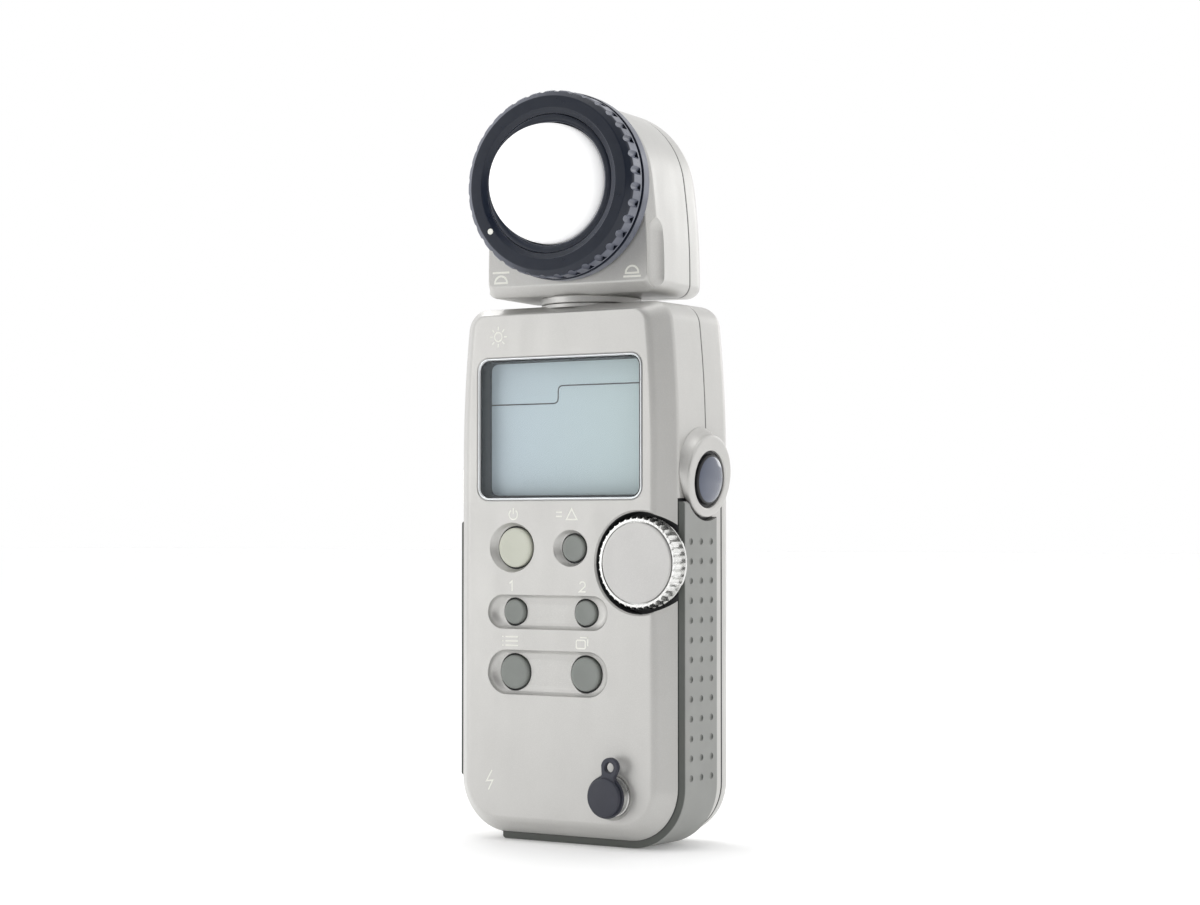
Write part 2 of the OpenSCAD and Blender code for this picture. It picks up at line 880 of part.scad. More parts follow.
module head_front() {
    color(champagne)
    turned_head()
    difference() {
        union() {
            difference() {
                head_front_outer();
                slab(1.5 - head_face_y, head_part_y + 1) polygon(head_pts(head_front_wall));
            }
            for (s = HEAD_SCREWS) y_bar(s, 2.1, 1.4 - head_face_y, head_part_y);
        }
        y_bar([0, ring_z], barrel_r + slack, -20, 0);
        translate([0, 0, head_low_z - 1]) cylinder(r = tube_r + slack, h = 4);
        for (s = [-1, 1]) {
            translate([s * groove_at[0], groove_at[1], groove_low_z])
                cylinder(r = groove_r, h = groove_top_z - groove_low_z);
            for (z = [groove_low_z, groove_top_z])
                translate([s * groove_at[0], groove_at[1], z]) sphere(r = groove_r);
        }
        for (s = HEAD_SCREWS) y_bar(s, screw_r + slack, -4, 8);
    }
}

module head_rear() {
    color(champagne)
    turned_head()
    difference() {
        hull() {
            slab(head_part_y + seam, head_edge_y) polygon(head_pts(0));
            back_edge(head_edge_y, head_edge_r) polygon(head_pts($inset, 0, $inset * head_slope));
        }
        hull() {
            slab(head_part_y, head_edge_y) polygon(head_pts(head_wall));
            slab(head_back_y - head_wall, head_back_y - head_wall + eps)
                polygon(head_pts(head_edge_r, 0, head_edge_r * head_slope));
        }
        for (s = HEAD_SCREWS) y_bar(s, screw_r + slack, 0, 20);
        for (s = HEAD_SCREWS) y_bar(s, screw_head_r + slack, head_back_y - screw_sink, 20);
    }
}

module head_screws() {
    color(steel)
    turned_head()
    for (s = HEAD_SCREWS) {
        y_bar(s, screw_r, -3, head_back_y - screw_sink);
        difference() {
            y_bar(s, screw_head_r, head_back_y - screw_sink, head_back_y - 0.3);
            block([s[0] - cross_long, head_back_y - 0.7, s[1] - cross_half],
                  [s[0] + cross_long, 20, s[1] + cross_half]);
            block([s[0] - cross_half, head_back_y - 0.7, s[1] - cross_long],
                  [s[0] + cross_half, 20, s[1] + cross_long]);
        }
    }
}

module neck_disc() {
    color(champagne)
    difference() {
        translate([0, 0, neck_gap_z + 0.15]) cylinder(r = neck_r, h = head_low_z - neck_gap_z - 0.15);
        translate([0, 0, 110]) cylinder(r = tube_r + slack, h = 6);
    }
}

module swivel_tube() {
    color(steel)
    difference() {
        translate([0, 0, 105.4]) cylinder(r = tube_r, h = 11);
        translate([0, 0, 105]) cylinder(r = 3.6, h = 12);
    }
}

module swivel_clip() {
    color("dimgray")
    turned_head()
    difference() {
        translate([0, 0, 106.3]) cylinder(r = 6.6, h = 0.8);
        translate([0, 0, 106]) cylinder(r = tube_r + slack, h = 2);
        block([-2, 0, 106], [2, 8, 108]);
    }
}

module ring_barrel() {
    color(ink)
    turned_head()
    difference() {
        y_turned([0, ring_z], [[lip_r, 0.6 - ring_front_y], [barrel_r, 0.6 - ring_front_y],
            [barrel_r, 1.6 - head_face_y], [15.4, 1.6 - head_face_y], [15.4, 2.6 - head_face_y],
            [barrel_r, 2.6 - head_face_y], [barrel_r, barrel_back_y], [barrel_bore_r, barrel_back_y],
            [barrel_bore_r, 1.6 - ring_front_y], [lip_r, 1.6 - ring_front_y]]);
        for (i = [0:2])
            translate([0, 0, ring_z]) rotate([0, 90 + 120 * i, 0]) translate([-1.1, 1.9 - ring_front_y, 12])
                cube([2.2, 20, 3]);
    }
}

module light_baffle() {
    color("black")
    turned_head()
    y_turned([0, ring_z], [[5.6, -3.9], [14.3, -3.9], [14.3, -2.9], [7, -2.9], [7, 3.9], [6, 3.9],
        [6, -2.2], [5.6, -2.2]]);
}

module sensor_filter() {
    color("steelblue", 0.6)
    turned_head()
    y_bar([0, ring_z], 5.95, -2.18, -1.2);
}

module photo_sensor() {
    color("silver")
    turned_head()
    y_bar([0, ring_z], 4.2, -0.8, 3.98);
}

module sensor_board() {
    color("darkgreen")
    turned_head()
    block([-12, 4, 124], [12, 5.2, 145.4]);
}

// ---- ring and dome ----

module dome_ring() {
    front = -ring_front_y;
    lug_r = ring_r - lug_drop;
    color(ink)
    turned_head()
    difference() {
        y_turned([0, ring_z], [[ring_bore_r, front + 0.5], [ring_slope_r, front], [ring_face_r, front],
            [lug_r - 0.4, front + 0.9], [lug_r, front + 1.4], [lug_r, front + 4.9], [ring_r - 0.9, front + 5],
            [ring_r - 0.9, front + 5.3], [ring_r, front + 5.4], [ring_r, -ring_back_y - 0.4],
            [ring_r - 0.4, -ring_back_y], [ring_bore_r, -ring_back_y]]);
        for (i = [0:ring_lugs - 1]) {
            a = i * 360 / ring_lugs;
            y_bar([0, ring_z] + [cos(a), sin(a)] * (lug_r + 0.1), 0.9, front + 0.6, front + 4.95);
        }
        y_bar([0, ring_z] + [cos(dot_a), sin(dot_a)] * dot_at_r, dot_r + slack, front - 1, front + 0.5);
    }
}

module index_dot() {
    color("white")
    turned_head()
    y_bar([0, ring_z] + [cos(dot_a), sin(dot_a)] * dot_at_r, dot_r, -ring_front_y - slack,
          0.48 - ring_front_y);
}

module dome() {
    apex = -dome_base_y;
    color("white")
    turned_head()
    translate([0, 0, ring_z]) rotate([90, 0, 0]) rotate_extrude() polygon(concat(
        [[dome_r, -apex - dome_skirt]], arc([0, -apex], dome_r, 0, 90, 16),
        arc([0, -apex], dome_inner_r, 90, 0, 16), [[dome_inner_r, -apex - dome_skirt]]));
}

module dome_carrier() {
    color(ink)
    turned_head() {
        y_turned([0, ring_z], [[11.4, -carrier_front_y], [carrier_r, -carrier_front_y],
            [carrier_r, -carrier_back_y], [11.4, -carrier_back_y]]);
        for (i = [0:2])
            translate([0, 0, ring_z]) rotate([0, 90 + 120 * i, 0])
                translate([0, -(carrier_front_y + carrier_back_y) / 2, 12.4]) cylinder(r = 0.7, h = 1.8);
    }
}

front_shell();
rear_shell();
display_window();
display_bezel();
display_gasket();
display_panel();
backlight_panel();
main_board();
key_mat();
key_switches();
right_grip();
left_grip();
button_surround();
measure_switch();
strap_lug();
sync_terminal();
sync_insulator();
sync_contact();
jog_encoder();
battery_bay();
battery_cell();
battery_spring();
battery_plate();
setting_switches();
tripod_bush();
neck_base();
swivel_bush();
shell_screws();
cover_hinge_pin();
head_front();
head_rear();
neck_disc();
swivel_tube();
swivel_clip();
ring_barrel();
light_baffle();
sensor_filter();
photo_sensor();
sensor_board();
head_screws();
dome_ring();
index_dot();
dome();
dome_carrier();
jog_wheel();
jog_disc();
jog_shaft();
power_button();
average_button();
speed_button_1();
speed_button_2();
mode_button();
memory_button();
measure_button();
terminal_cap();
battery_cover();
cover_latch();
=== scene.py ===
"""Looks of the handheld light meter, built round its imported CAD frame."""

import json
from math import asin, atan2, cos, degrees, pi, radians, sin

import bmesh
import bpy
from mathutils import Matrix, Vector


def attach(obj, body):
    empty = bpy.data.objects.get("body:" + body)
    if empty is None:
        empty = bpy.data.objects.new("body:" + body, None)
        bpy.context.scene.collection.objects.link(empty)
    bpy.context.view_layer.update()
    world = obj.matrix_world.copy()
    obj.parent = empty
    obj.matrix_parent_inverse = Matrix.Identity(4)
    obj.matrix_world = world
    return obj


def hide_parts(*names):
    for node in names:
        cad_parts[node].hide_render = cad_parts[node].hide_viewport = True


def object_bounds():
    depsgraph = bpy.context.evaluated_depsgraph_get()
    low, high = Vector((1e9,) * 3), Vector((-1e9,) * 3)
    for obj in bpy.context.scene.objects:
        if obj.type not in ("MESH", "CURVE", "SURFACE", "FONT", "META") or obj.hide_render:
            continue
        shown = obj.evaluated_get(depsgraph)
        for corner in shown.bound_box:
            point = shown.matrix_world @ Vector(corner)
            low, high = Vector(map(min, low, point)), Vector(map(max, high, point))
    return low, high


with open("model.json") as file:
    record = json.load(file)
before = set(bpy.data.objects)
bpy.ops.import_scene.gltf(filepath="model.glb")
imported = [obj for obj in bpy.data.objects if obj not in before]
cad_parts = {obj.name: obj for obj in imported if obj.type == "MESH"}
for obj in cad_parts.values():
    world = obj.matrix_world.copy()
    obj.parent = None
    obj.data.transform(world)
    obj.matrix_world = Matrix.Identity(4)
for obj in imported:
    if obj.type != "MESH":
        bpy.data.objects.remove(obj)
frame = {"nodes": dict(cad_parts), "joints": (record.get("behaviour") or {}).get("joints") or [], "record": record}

MM = 0.001
ORIGIN = (0, 0, 0)
CAD_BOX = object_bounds()
SLOTS = {part["node"]: part["material_slot"] for part in frame["record"]["subparts"]}
MOUNTS = {mount["name"]: mount for mount in frame["record"]["mounts"]}
JOINTS = {joint["name"]: joint for joint in frame["joints"]}

# The head's own frame: turned about Z, with its front along -Y.
RING_AXIS = Vector(JOINTS["ring_turn"]["axis"])
HEAD = Matrix.Rotation(atan2(RING_AXIS.x, -RING_AXIS.y), 4, "Z")
HEAD_BACK = HEAD.inverted()


def points_of(node, matrix=None):
    """A CAD node's points in millimetres, in the frame that matrix leads to."""
    points = [v.co / MM for v in frame["nodes"][node].data.vertices]
    return [matrix @ p for p in points] if matrix else points


def corners(points):
    """Lowest and highest corner of the box round some points."""
    return Vector(map(min, zip(*points))), Vector(map(max, zip(*points)))


def span(node, matrix=None):
    """Lowest and highest corner of a CAD node."""
    return corners(points_of(node, matrix))


def middle(node, matrix=None):
    """Centre of a CAD node's box."""
    low, high = span(node, matrix)
    return (low + high) / 2


# ---- materials


def linear(red, green, blue):
    """Scene colour of an 8-bit display colour."""
    return tuple((c / 255 / 12.92) if c < 10 else ((c / 255 + 0.055) / 1.055) ** 2.4
                 for c in (red, green, blue)) + (1,)


def shade(colour, factor):
    return tuple(min(1, c * factor) for c in colour[:3]) + (1,)


class Nodes:
    """Short calls for making one material's nodes."""

    def __init__(self, name):
        self.material = bpy.data.materials.new(name)
        self.material.use_nodes = True
        self.tree = self.material.node_tree
        self.shader = self.tree.nodes["Principled BSDF"]
        self.place = self.add("ShaderNodeTexCoord").outputs["Object"]

    def put(self, socket, value):
        if isinstance(value, bpy.types.NodeSocket):
            self.tree.links.new(value, socket)
        else:
            socket.default_value = value

    def fill(self, node, inputs):
        for key, value in inputs.items():
            self.put(node.inputs[key.replace("_", " ")], value)
        return node

    def add(self, kind, **inputs):
        return self.fill(self.tree.nodes.new(kind), inputs)

    def noise(self, size_mm, detail=3.0, stretch=(1, 1, 1)):
        """Noise whose blobs are about size_mm across, stretched along the axes."""
        mapping = self.add("ShaderNodeMapping", Vector=self.place, Scale=[1 / s for s in stretch])
        texture = self.add("ShaderNodeTexNoise", Vector=mapping.outputs[0], Scale=1 / (size_mm * MM), Detail=detail)
        return texture.outputs["Fac"]

    def span(self, value, low, high, start=0.3, end=0.7):
        """Value from start to end, carried over to low to high."""
        return self.add("ShaderNodeMapRange", Value=value, From_Min=start, From_Max=end, To_Min=low,
                        To_Max=high).outputs[0]

    def mix(self, factor, a, b):
        """Colour from a to b."""
        node = self.tree.nodes.new("ShaderNodeMix")
        node.data_type = "RGBA"
        for key, value in (("Factor", factor), (6, a), (7, b)):
            self.put(node.inputs[key], value)
        return node.outputs[2]

    def bump(self, height, depth_mm, strength=1.0):
        return self.add("ShaderNodeBump", Height=height, Strength=strength, Distance=depth_mm * MM).outputs[0]

    def finish(self, **inputs):
        """Sets the shader and gives the finished material."""
        self.fill(self.shader, inputs)
        return self.material


def surface(name, colour, rough, metal=0.0, mottle=0.04, patch_mm=9.0, grain_mm=0.25, grain_depth=0.004, **fixed):
    """A moulded, painted or plated surface: soft patches in its colour, uneven gloss and a fine grain."""
    n = Nodes(name)
    patches = n.span(n.noise(patch_mm, 4), 0, 1)
    return n.finish(Base_Color=n.mix(patches, shade(colour, 1 - mottle), shade(colour, 1 + mottle)),
                    Roughness=n.span(n.noise(patch_mm / 3, 5), rough - 0.05, rough + 0.05),
                    Metallic=metal, Normal=n.bump(n.noise(grain_mm, 2), grain_depth), **fixed)


def satin_paint(name, colour):
    """Metallic satin paint: fine bright flakes under a thin coat, with faint handling marks in the gloss."""
    n = Nodes(name)
    flakes = n.span(n.noise(0.12, 1), 0, 1, 0.52, 0.72)
    tone = n.mix(n.span(n.noise(14, 3), 0, 1), shade(colour, 0.97), shade(colour, 1.02))
    smears = n.span(n.noise(6, 6, (0.6, 0.6, 2.4)), 0.36, 0.46)
    return n.finish(Base_Color=n.mix(flakes, tone, shade(colour, 1.12)), Roughness=smears, Metallic=0.45,
                    Normal=n.bump(n.noise(0.16, 2), 0.003, 0.6), Coat_Weight=0.12, Coat_Roughness=0.28)


def painted_sheen_plastic(name, colour, grazing_reflection_colour):
    """Hard black plastic with a painted reflection: its colour turns lighter where it is seen at a low angle."""
    n = Nodes(name)
    # painted reflection: the colour mixes towards the lighter grazing colour as the view gets flatter
    low = n.span(n.add("ShaderNodeLayerWeight", Blend=0.5).outputs["Facing"], 0, 1, 0.3, 0.6)
    tone = n.mix(low, colour, grazing_reflection_colour)
    patches = n.span(n.noise(5, 4), 0, 0.3)
    return n.finish(Base_Color=n.mix(patches, tone, shade(colour, 0.8)),
                    Roughness=n.span(n.noise(2, 5), 0.27, 0.37), Normal=n.bump(n.noise(0.14, 2), 0.004))


def rubber(name, colour, front_shade_colour):
    """Matt rubber with painted shade: darker where it faces the front."""
    n = Nodes(name)
    facing = n.add("ShaderNodeSeparateXYZ", Vector=n.add("ShaderNodeNewGeometry").outputs["Normal"])
    # painted shade: faces turned to the front take the darker colour
    front = n.span(facing.outputs["Y"], 1, 0, -0.9, -0.35)
    tone = n.mix(front, colour, front_shade_colour)
    patches = n.span(n.noise(9, 4), 0, 0.12)
    return n.finish(Base_Color=n.mix(patches, tone, shade(front_shade_colour, 0.8)),
                    Roughness=n.span(n.noise(3, 5), 0.57, 0.67), Normal=n.bump(n.noise(0.18, 2), 0.012))


def crystal_panel(name, colour, right_colour):
    """Liquid crystal panel: bluish grey that turns a little greener to the right."""
    n = Nodes(name)
    low, high = span("display_panel")
    centre, half = (low.x + high.x) / 2, (high.x - low.x) / 2
    along = n.add("ShaderNodeSeparateXYZ", Vector=n.place).outputs["X"]
    across = n.span(along, 0, 1, (centre - half) * MM, (centre + half) * MM)
    fine = n.mix(n.span(n.noise(8, 2), 0, 1), shade(colour, 1), shade(colour, 0.98))
    return n.finish(Base_Color=n.mix(across, fine, right_colour), Roughness=n.span(n.noise(5), 0.3, 0.4),
                    Normal=n.bump(n.noise(6, 1), 0.002), Specular_IOR_Level=0.3)


WHITE = (1, 1, 1, 1)
SILVER = linear(226, 226, 224)
PLAIN = {
    "clear_window": dict(colour=linear(225, 235, 240), rough=0.05, grain_depth=0, Alpha=0.05),
    "bezel": dict(colour=linear(225, 228, 230), rough=0.22, metal=0.6, grain_depth=0.001),
    # diffuser_white has a weak emission, a painted glow that keeps the dome pure white
    "diffuser_white": dict(colour=(0.97, 0.97, 0.97, 1), rough=0.45, mottle=0.01, grain_depth=0.002,
                           Emission_Color=WHITE, Emission_Strength=0.3),
    "circuit_board": dict(colour=(0.03, 0.16, 0.07, 1), rough=0.35, mottle=0.15, patch_mm=1.2),
    "black_plastic": dict(colour=(0.012, 0.013, 0.015, 1), rough=0.5),
    "dark_liner": dict(colour=(0.05, 0.05, 0.055, 1), rough=0.5),
    "cap_rubber": dict(colour=linear(50, 52, 63), rough=0.45, grain_mm=0.15, grain_depth=0.008, mottle=0.1),
    "bright_metal": dict(colour=SILVER, rough=0.3, metal=0.75, grain_depth=0.002),
    "screw_steel": dict(colour=linear(190, 190, 192), rough=0.3, metal=1.0),
    "spring_steel": dict(colour=linear(205, 205, 205), rough=0.25, metal=1.0),
    "contact_brass": dict(colour=linear(225, 190, 120), rough=0.25, metal=1.0),
    "cell_jacket": dict(colour=(0.40, 0.27, 0.06, 1), rough=0.35),
    "switch_block": dict(colour=(0.35, 0.03, 0.02, 1), rough=0.4),
    "index_white": dict(colour=linear(246, 246, 238), rough=0.5, mottle=0.02, grain_depth=0.002),
    "filter_glass": dict(colour=(0.35, 0.55, 0.68, 1), rough=0.08, Alpha=0.6),
    "sensor_can": dict(colour=linear(205, 205, 206), rough=0.28, metal=1.0),
    "jog_metal": dict(colour=SILVER, rough=0.24, metal=0.9, grain_mm=0.3, grain_depth=0.012, mottle=0.08,
                      patch_mm=1.5),
    "power_key": dict(colour=linear(208, 210, 196), rough=0.45, mottle=0.03),
    "key_grey": dict(colour=linear(138, 142, 138), rough=0.55, grain_mm=0.16, grain_depth=0.008),
    "measure_gloss": dict(colour=linear(74, 82, 102), rough=0.12, mottle=0.06, grain_depth=0.001,
                          Coat_Weight=0.8, Coat_Roughness=0.04),
    "latch_grey": dict(colour=linear(120, 124, 124), rough=0.5, grain_depth=0.008),
}
SPECIAL = {
    "champagne_shell": (satin_paint, linear(200, 199, 196)),
    "jog_face": (satin_paint, linear(199, 198, 196)),
    "display_glass": (crystal_panel, linear(200, 216, 225), linear(200, 218, 219)),
    # grip_rubber: the second colour is painted shade on the faces turned to the front
    "grip_rubber": (rubber, linear(157, 158, 155), linear(92, 95, 91)),
    # ring_black: the second colour is a painted reflection, shown where the ring is seen at a low angle
    "ring_black": (painted_sheen_plastic, linear(17, 26, 42), linear(112, 116, 130)),
}
MATERIALS = {name: surface(name, **look) for name, look in PLAIN.items()}
MATERIALS.update({name: make(name, *colours) for name, (make, *colours) in SPECIAL.items()})

# ---- mesh helpers


def linked(name, data):
    """A new object in the scene."""
    item = bpy.data.objects.new(name, data)
    bpy.context.scene.collection.objects.link(item)
    return item


def add_mesh(name, points, faces, matrix=None):
    """A closed mesh from points in millimetres."""
    mesh = bpy.data.meshes.new(name)
    mesh.from_pydata([Vector(p) * MM for p in points], [], faces)
    bm = bmesh.new()
    bm.from_mesh(mesh)
    bmesh.ops.remove_doubles(bm, verts=bm.verts, dist=0.0005 * MM)
    bmesh.ops.recalc_face_normals(bm, faces=bm.faces)
    bm.to_mesh(mesh)
    bm.free()
    if matrix:
        mesh.transform(matrix)
    return linked(name, mesh)


def loft(name, rings, matrix=None, hoop=False):
    """Skins rings of equal counts. A hoop joins the last ring to the first, and otherwise both ends are capped."""
    count = len(rings[0])
    faces = []
    for i in range(len(rings) if hoop else len(rings) - 1):
        a, b = i * count, (i + 1) % len(rings) * count
        faces += [(a + j, a + (j + 1) % count, b + (j + 1) % count, b + j) for j in range(count)]
    if not hoop:
        last = (len(rings) - 1) * count
        faces += [tuple(range(count - 1, -1, -1)), tuple(range(last, last + count))]
    return add_mesh(name, [p for ring in rings for p in ring], faces, matrix)


def turned(name, centre, profile, axis="Y", steps=96, hoop=True, matrix=None):
    """Turns a profile of (radius, place along the axis) round an axis through centre."""
    rings = []
    for radius, along in profile:
        ring = []
        for i in range(steps):
            a = 2 * pi * i / steps
            u, v = radius * cos(a), radius * sin(a)
            ring.append({"X": (along, centre[1] + u, centre[2] + v),
                         "Y": (centre[0] + u, along, centre[2] + v),
                         "Z": (centre[0] + u, centre[1] + v, along)}[axis])
        rings.append(ring)
    return loft(name, rings, matrix, hoop)


def rod(centre, profile, **options):
    """Round solid with closed ends, to cut or to add."""
    return turned("rod", centre, profile, hoop=False, **options)


def cylinder(centre, radius, start, end, **options):
    return rod(centre, [(radius, start), (radius, end)], **options)


def block(low, high, matrix=None):
    """Box from its two corners."""
    ring = [(low[0], low[1]), (high[0], low[1]), (high[0], high[1]), (low[0], high[1])]
    return loft("block", [[(x, y, z) for x, y in ring] for z in (low[2], high[2])], matrix)


def combine(piece, others, operation="DIFFERENCE"):
    """Cuts others out of a piece, or joins them to it."""
    for other in others:
        modifier = piece.modifiers.new("solid", "BOOLEAN")
        modifier.operation = operation
        modifier.solver = "MANIFOLD"
        modifier.object = other
    graph = bpy.context.evaluated_depsgraph_get()
    mesh = bpy.data.meshes.new_from_object(piece.evaluated_get(graph))
    piece.modifiers.clear()
    piece.data = mesh
    for other in others:
        bpy.data.objects.remove(other)
    return piece


def join(name, parts):
    """One object from several separate solids."""
    bm = bmesh.new()
    for part in parts:
        bm.from_mesh(part.data)
        bpy.data.objects.remove(part)
    mesh = bpy.data.meshes.new(name)
    bm.to_mesh(mesh)
    bm.free()
    return linked(name, mesh)


def place(piece, body, slot, nodes=(), angle=32, round_mm=0.0):
    """Shades a finished piece, rounds its edges, and hangs it on its body in place of its CAD nodes."""
    piece.data.materials.clear()
    piece.data.materials.append(MATERIALS[slot])
    for face in piece.data.polygons:
        face.use_smooth = True
    piece.data.set_sharp_from_angle(angle=radians(angle))
    if round_mm:
        bevel = piece.modifiers.new("edges", "BEVEL")
        bevel.width = round_mm * MM
        bevel.segments = 2
        bevel.limit_method = "ANGLE"
        bevel.angle_limit = radians(angle)
    piece.modifiers.new("normals", "WEIGHTED_NORMAL").keep_sharp = True
    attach(piece, body)
    if nodes:
        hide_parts(*nodes)


# ---- outlines across X and Z


def arc(cx, cz, radius, start, end, steps):
    angles = [radians(start + (end - start) * i / steps) for i in range(steps + 1)]
    return [(cx + radius * cos(a), cz + radius * sin(a)) for a in angles]


def bend(start, corner, end, steps=5):
    """Points of a rounded corner between two straight lines."""
    shares = [i / steps for i in range(steps + 1)]
    return [tuple((1 - t) ** 2 * a + 2 * t * (1 - t) * b + t * t * c for a, b, c in zip(start, corner, end))
            for t in shares]


def lift(base, profile):
    """A profile whose second values are counted from base."""
    return [(first, base + second) for first, second in profile]


def tapered(w, z0, rb, zk, rk, zt, rt, steps=14):
    """Outline with lower corners, sides that curve in above zk, and upper corners tangent to the sides."""
    t = degrees(asin((zt - rt - zk) / (rk - rt)))
    cx = w - rk + (rk - rt) * cos(radians(t))
    right = arc(w - rb, z0 + rb, rb, -90, 0, steps) + arc(w - rk, zk, rk, 0, t, steps)
    right += arc(cx, zt - rt, rt, t, 90, steps)
    return right + [(-x, z) for x, z in reversed(right)]


def rounded(cx, cz, w, h, r, steps=6):
    """Rounded rectangle."""
    x, z = w / 2 - r, h / 2 - r
    quarters = ((cx + x, cz + z, 0), (cx - x, cz + z, 90), (cx - x, cz - z, 180), (cx + x, cz - z, 270))
    return [p for px, pz, a in quarters for p in arc(px, pz, r, a, a + 90, steps)]


def at(outline, y):
    """An outline's points at depth y."""
    return [(x, y, z) for x, z in outline]


def between(a, b, share):
    """Outline a share of the way from a to b."""
    return [(p[0] + (q[0] - p[0]) * share, p[1] + (q[1] - p[1]) * share) for p, q in zip(a, b)]


def tablet(name, cx, cz, w, h, r, path, steps=6, sharpen=1, hoop=False):
    """Rounded plate or frame: the path gives how far in each ring lies, and its depth."""
    return loft(name, [at(rounded(cx, cz, w - 2 * d, h - 2 * d, r - sharpen * d, steps), y) for d, y in path],
                hoop=hoop)


def bevelled_front(face, side, face_y, side_y, soft_face, soft_side):
    """Rings from a flat face over a bevel to the side, with soft edges."""
    path = bend((-soft_face, 0), (0, 0), (soft_face, soft_face))
    path += bend((1 - soft_side, 1 - soft_side), (1, 1), (1, 1 + soft_side))
    return [at(between(face, side, s), face_y + (side_y - face_y) * q) for s, q in path]


def back_edge(outline, radius, end_y, steps):
    """Rings round a soft rear edge: outline(d) gives the outline d inside the side."""
    turns = [pi / 2 * i / steps for i in range(steps + 1)]
    return [at(outline(radius * (1 - cos(a))), end_y - radius + radius * sin(a)) for a in turns]


def eye(centre, radius, soft, front, back, **options):
    """Cutter for a round hole with soft edges."""
    wide = radius + soft
    return rod(centre, [(wide, front - 1), (wide, front), (radius, front + soft), (radius, back - soft),
                        (wide, back), (wide, back + 1)], steps=40, **options)


# ---- places on the body, taken from the frame

FRONT = span("front_shell")
REAR = span("rear_shell")
HALF_W, TOP_Z = FRONT[1].x, FRONT[1].z
BASE_Z, FACE_Y = FRONT[0].z, FRONT[0].y
SIDE_Y = FACE_Y + 3.8
BACK_Y = REAR[1].y
WALL = 1.6
CORNER_R, TOP_R = 11.5, 4.8
TAPER_Z, SIDE_CURVE_R = 80, 260
SEAM = 0.34
SEAM_EDGE, SEAM_SOFT = 0.12, 0.15
# depth of the black strips that paint shade into the seams
SHADE_STRIP_DEEP, SHADE_STRIP_BACK = 0.05, 1.5
STEP_Z = 70
PART_LOW_Y = FRONT[1].y
PART_HIGH_Y = REAR[0].y - 0.24
NECK_HOLE_R = 7.5
BUSH_HOLE_R = 4.25

DISPLAY = middle("display_bezel")
DISPLAY_W, _, DISPLAY_H = span("display_bezel")[1] - span("display_bezel")[0]
JOG = middle("jog_wheel")
JOG_FRONT_Y, JOG_BACK_Y = span("jog_disc")[0].y, span("jog_wheel")[1].y
JOG_R, JOG_DISC_R = span("jog_wheel")[1].z - JOG.z, span("jog_disc")[1].z - JOG.z
JOG_WELL_R = JOG_R + 1
SYNC = middle("sync_terminal")
SYNC_HOLE_R = 4.25

BUTTON_R, BUTTON_H = 5.1, 2.85
BOSS_AXIS = -Vector(JOINTS["measure_press"]["axis"])
BOSS_TILT = atan2(-BOSS_AXIS.z, BOSS_AXIS.x)
BOSS_Z, BOSS_H, BOSS_R = 75.57, 2.15, 8.5
BOSS_FACE_Z = 0.67
BOSS_ROOT_Z, BOSS_ROOT_R, BOSS_NECK_R = 77.4, 8.75, 7
ON_BOSS = Matrix.Translation((HALF_W * MM, 0, BOSS_Z * MM)) @ Matrix.Rotation(BOSS_TILT, 4, "Y")

KEYS = (("power_button", "power_key", "power_key"), ("average_button", "average_key", "key_grey"),
        ("speed_button_1", "speed_key_1", "key_grey"), ("speed_button_2", "speed_key_2", "key_grey"),
        ("mode_button", "mode_key", "key_grey"), ("memory_button", "memory_key", "key_grey"))
KEY_AT = {node: middle(node) for node, _, _ in KEYS}
FLANGE_RIM = 0.7
KEY_R = {node: (span(node)[1].x - span(node)[0].x) / 2 - FLANGE_RIM for node in KEY_AT}
KEY_GAP = 0.4
DISHED, SLOTTED = list(KEY_AT)[:2], list(KEY_AT)[2:]
SLOT_X = (KEY_AT["speed_button_1"].x + KEY_AT["speed_button_2"].x) / 2
SLOT_LEN, SLOT_DEPTH = 29.8, 1.6
SLOT_ROWS = ((KEY_AT["speed_button_1"].z, 7.0), (KEY_AT["mode_button"].z, 9.2))


def body_outline(inset):
    return tapered(HALF_W - inset, BASE_Z + inset, max(CORNER_R - inset, 1), TAPER_Z, SIDE_CURVE_R - inset,
                   TOP_Z - inset, max(TOP_R - inset, 0.8))


def face_outline(inset):
    return tapered(HALF_W - 3.8 - inset, BASE_Z + 3.2 + inset, 8 - inset, TAPER_Z, SIDE_CURVE_R - inset,
                   TOP_Z - 1.6 - inset, 3.2 - inset)


def front_rings(inset, deeper=0.0):
    """The body's bevelled front, inset all round."""
    return bevelled_front(face_outline(inset), body_outline(inset), FACE_Y + deeper, SIDE_Y + deeper, 0.22, 0.12)


# ---- body shells


def boss_hole():
    """Cutter for the neck of the side button's surround."""
    return cylinder(ORIGIN, BOSS_NECK_R, -4, 2, axis="X", matrix=ON_BOSS)


def bush_hole(top):
    """Cutter for the tripod bush."""
    return cylinder(ORIGIN, BUSH_HOLE_R, -1, top, axis="Z")


def shared_cutters():
    """Cutters for what both shells make room for: the neck, the strap lug and the side button's surround."""
    low, high = span("strap_lug")
    return [boss_hole(), cylinder(ORIGIN, NECK_HOLE_R, TOP_Z - 5, TOP_Z + 1, axis="Z"),
            block((-HALF_W - 1, low.y - 0.1, low.z - 0.1), (-HALF_W + 3, high.y + 0.1, high.z + 0.1))]


def key_dish(key, gap_r):
    """Oval dish whose long slope is to the left of its key, with the key's round hole in it."""
    hole = arc(key.x, key.z, gap_r, 0, 360, 96)[:-1]
    wide, tall = (gap_r + 1.05) / gap_r, (gap_r + 0.65) / gap_r
    rim = [(key.x - 0.35 + (x - key.x) * wide, key.z + (z - key.z) * tall) for x, z in hole]
    path = [(0.12, -1), (0.12, -0.01)] + bend((0.03, 0.02), (-0.06, 0.1), (-0.2, 0.3), 3)
    path += bend((-0.4, 0.62), (-0.7, 1.05), (-1, 1.15), 4) + [(-1, 5)]
    return loft("dish", [at(between(rim, hole, -s), FACE_Y + y) for s, y in path])


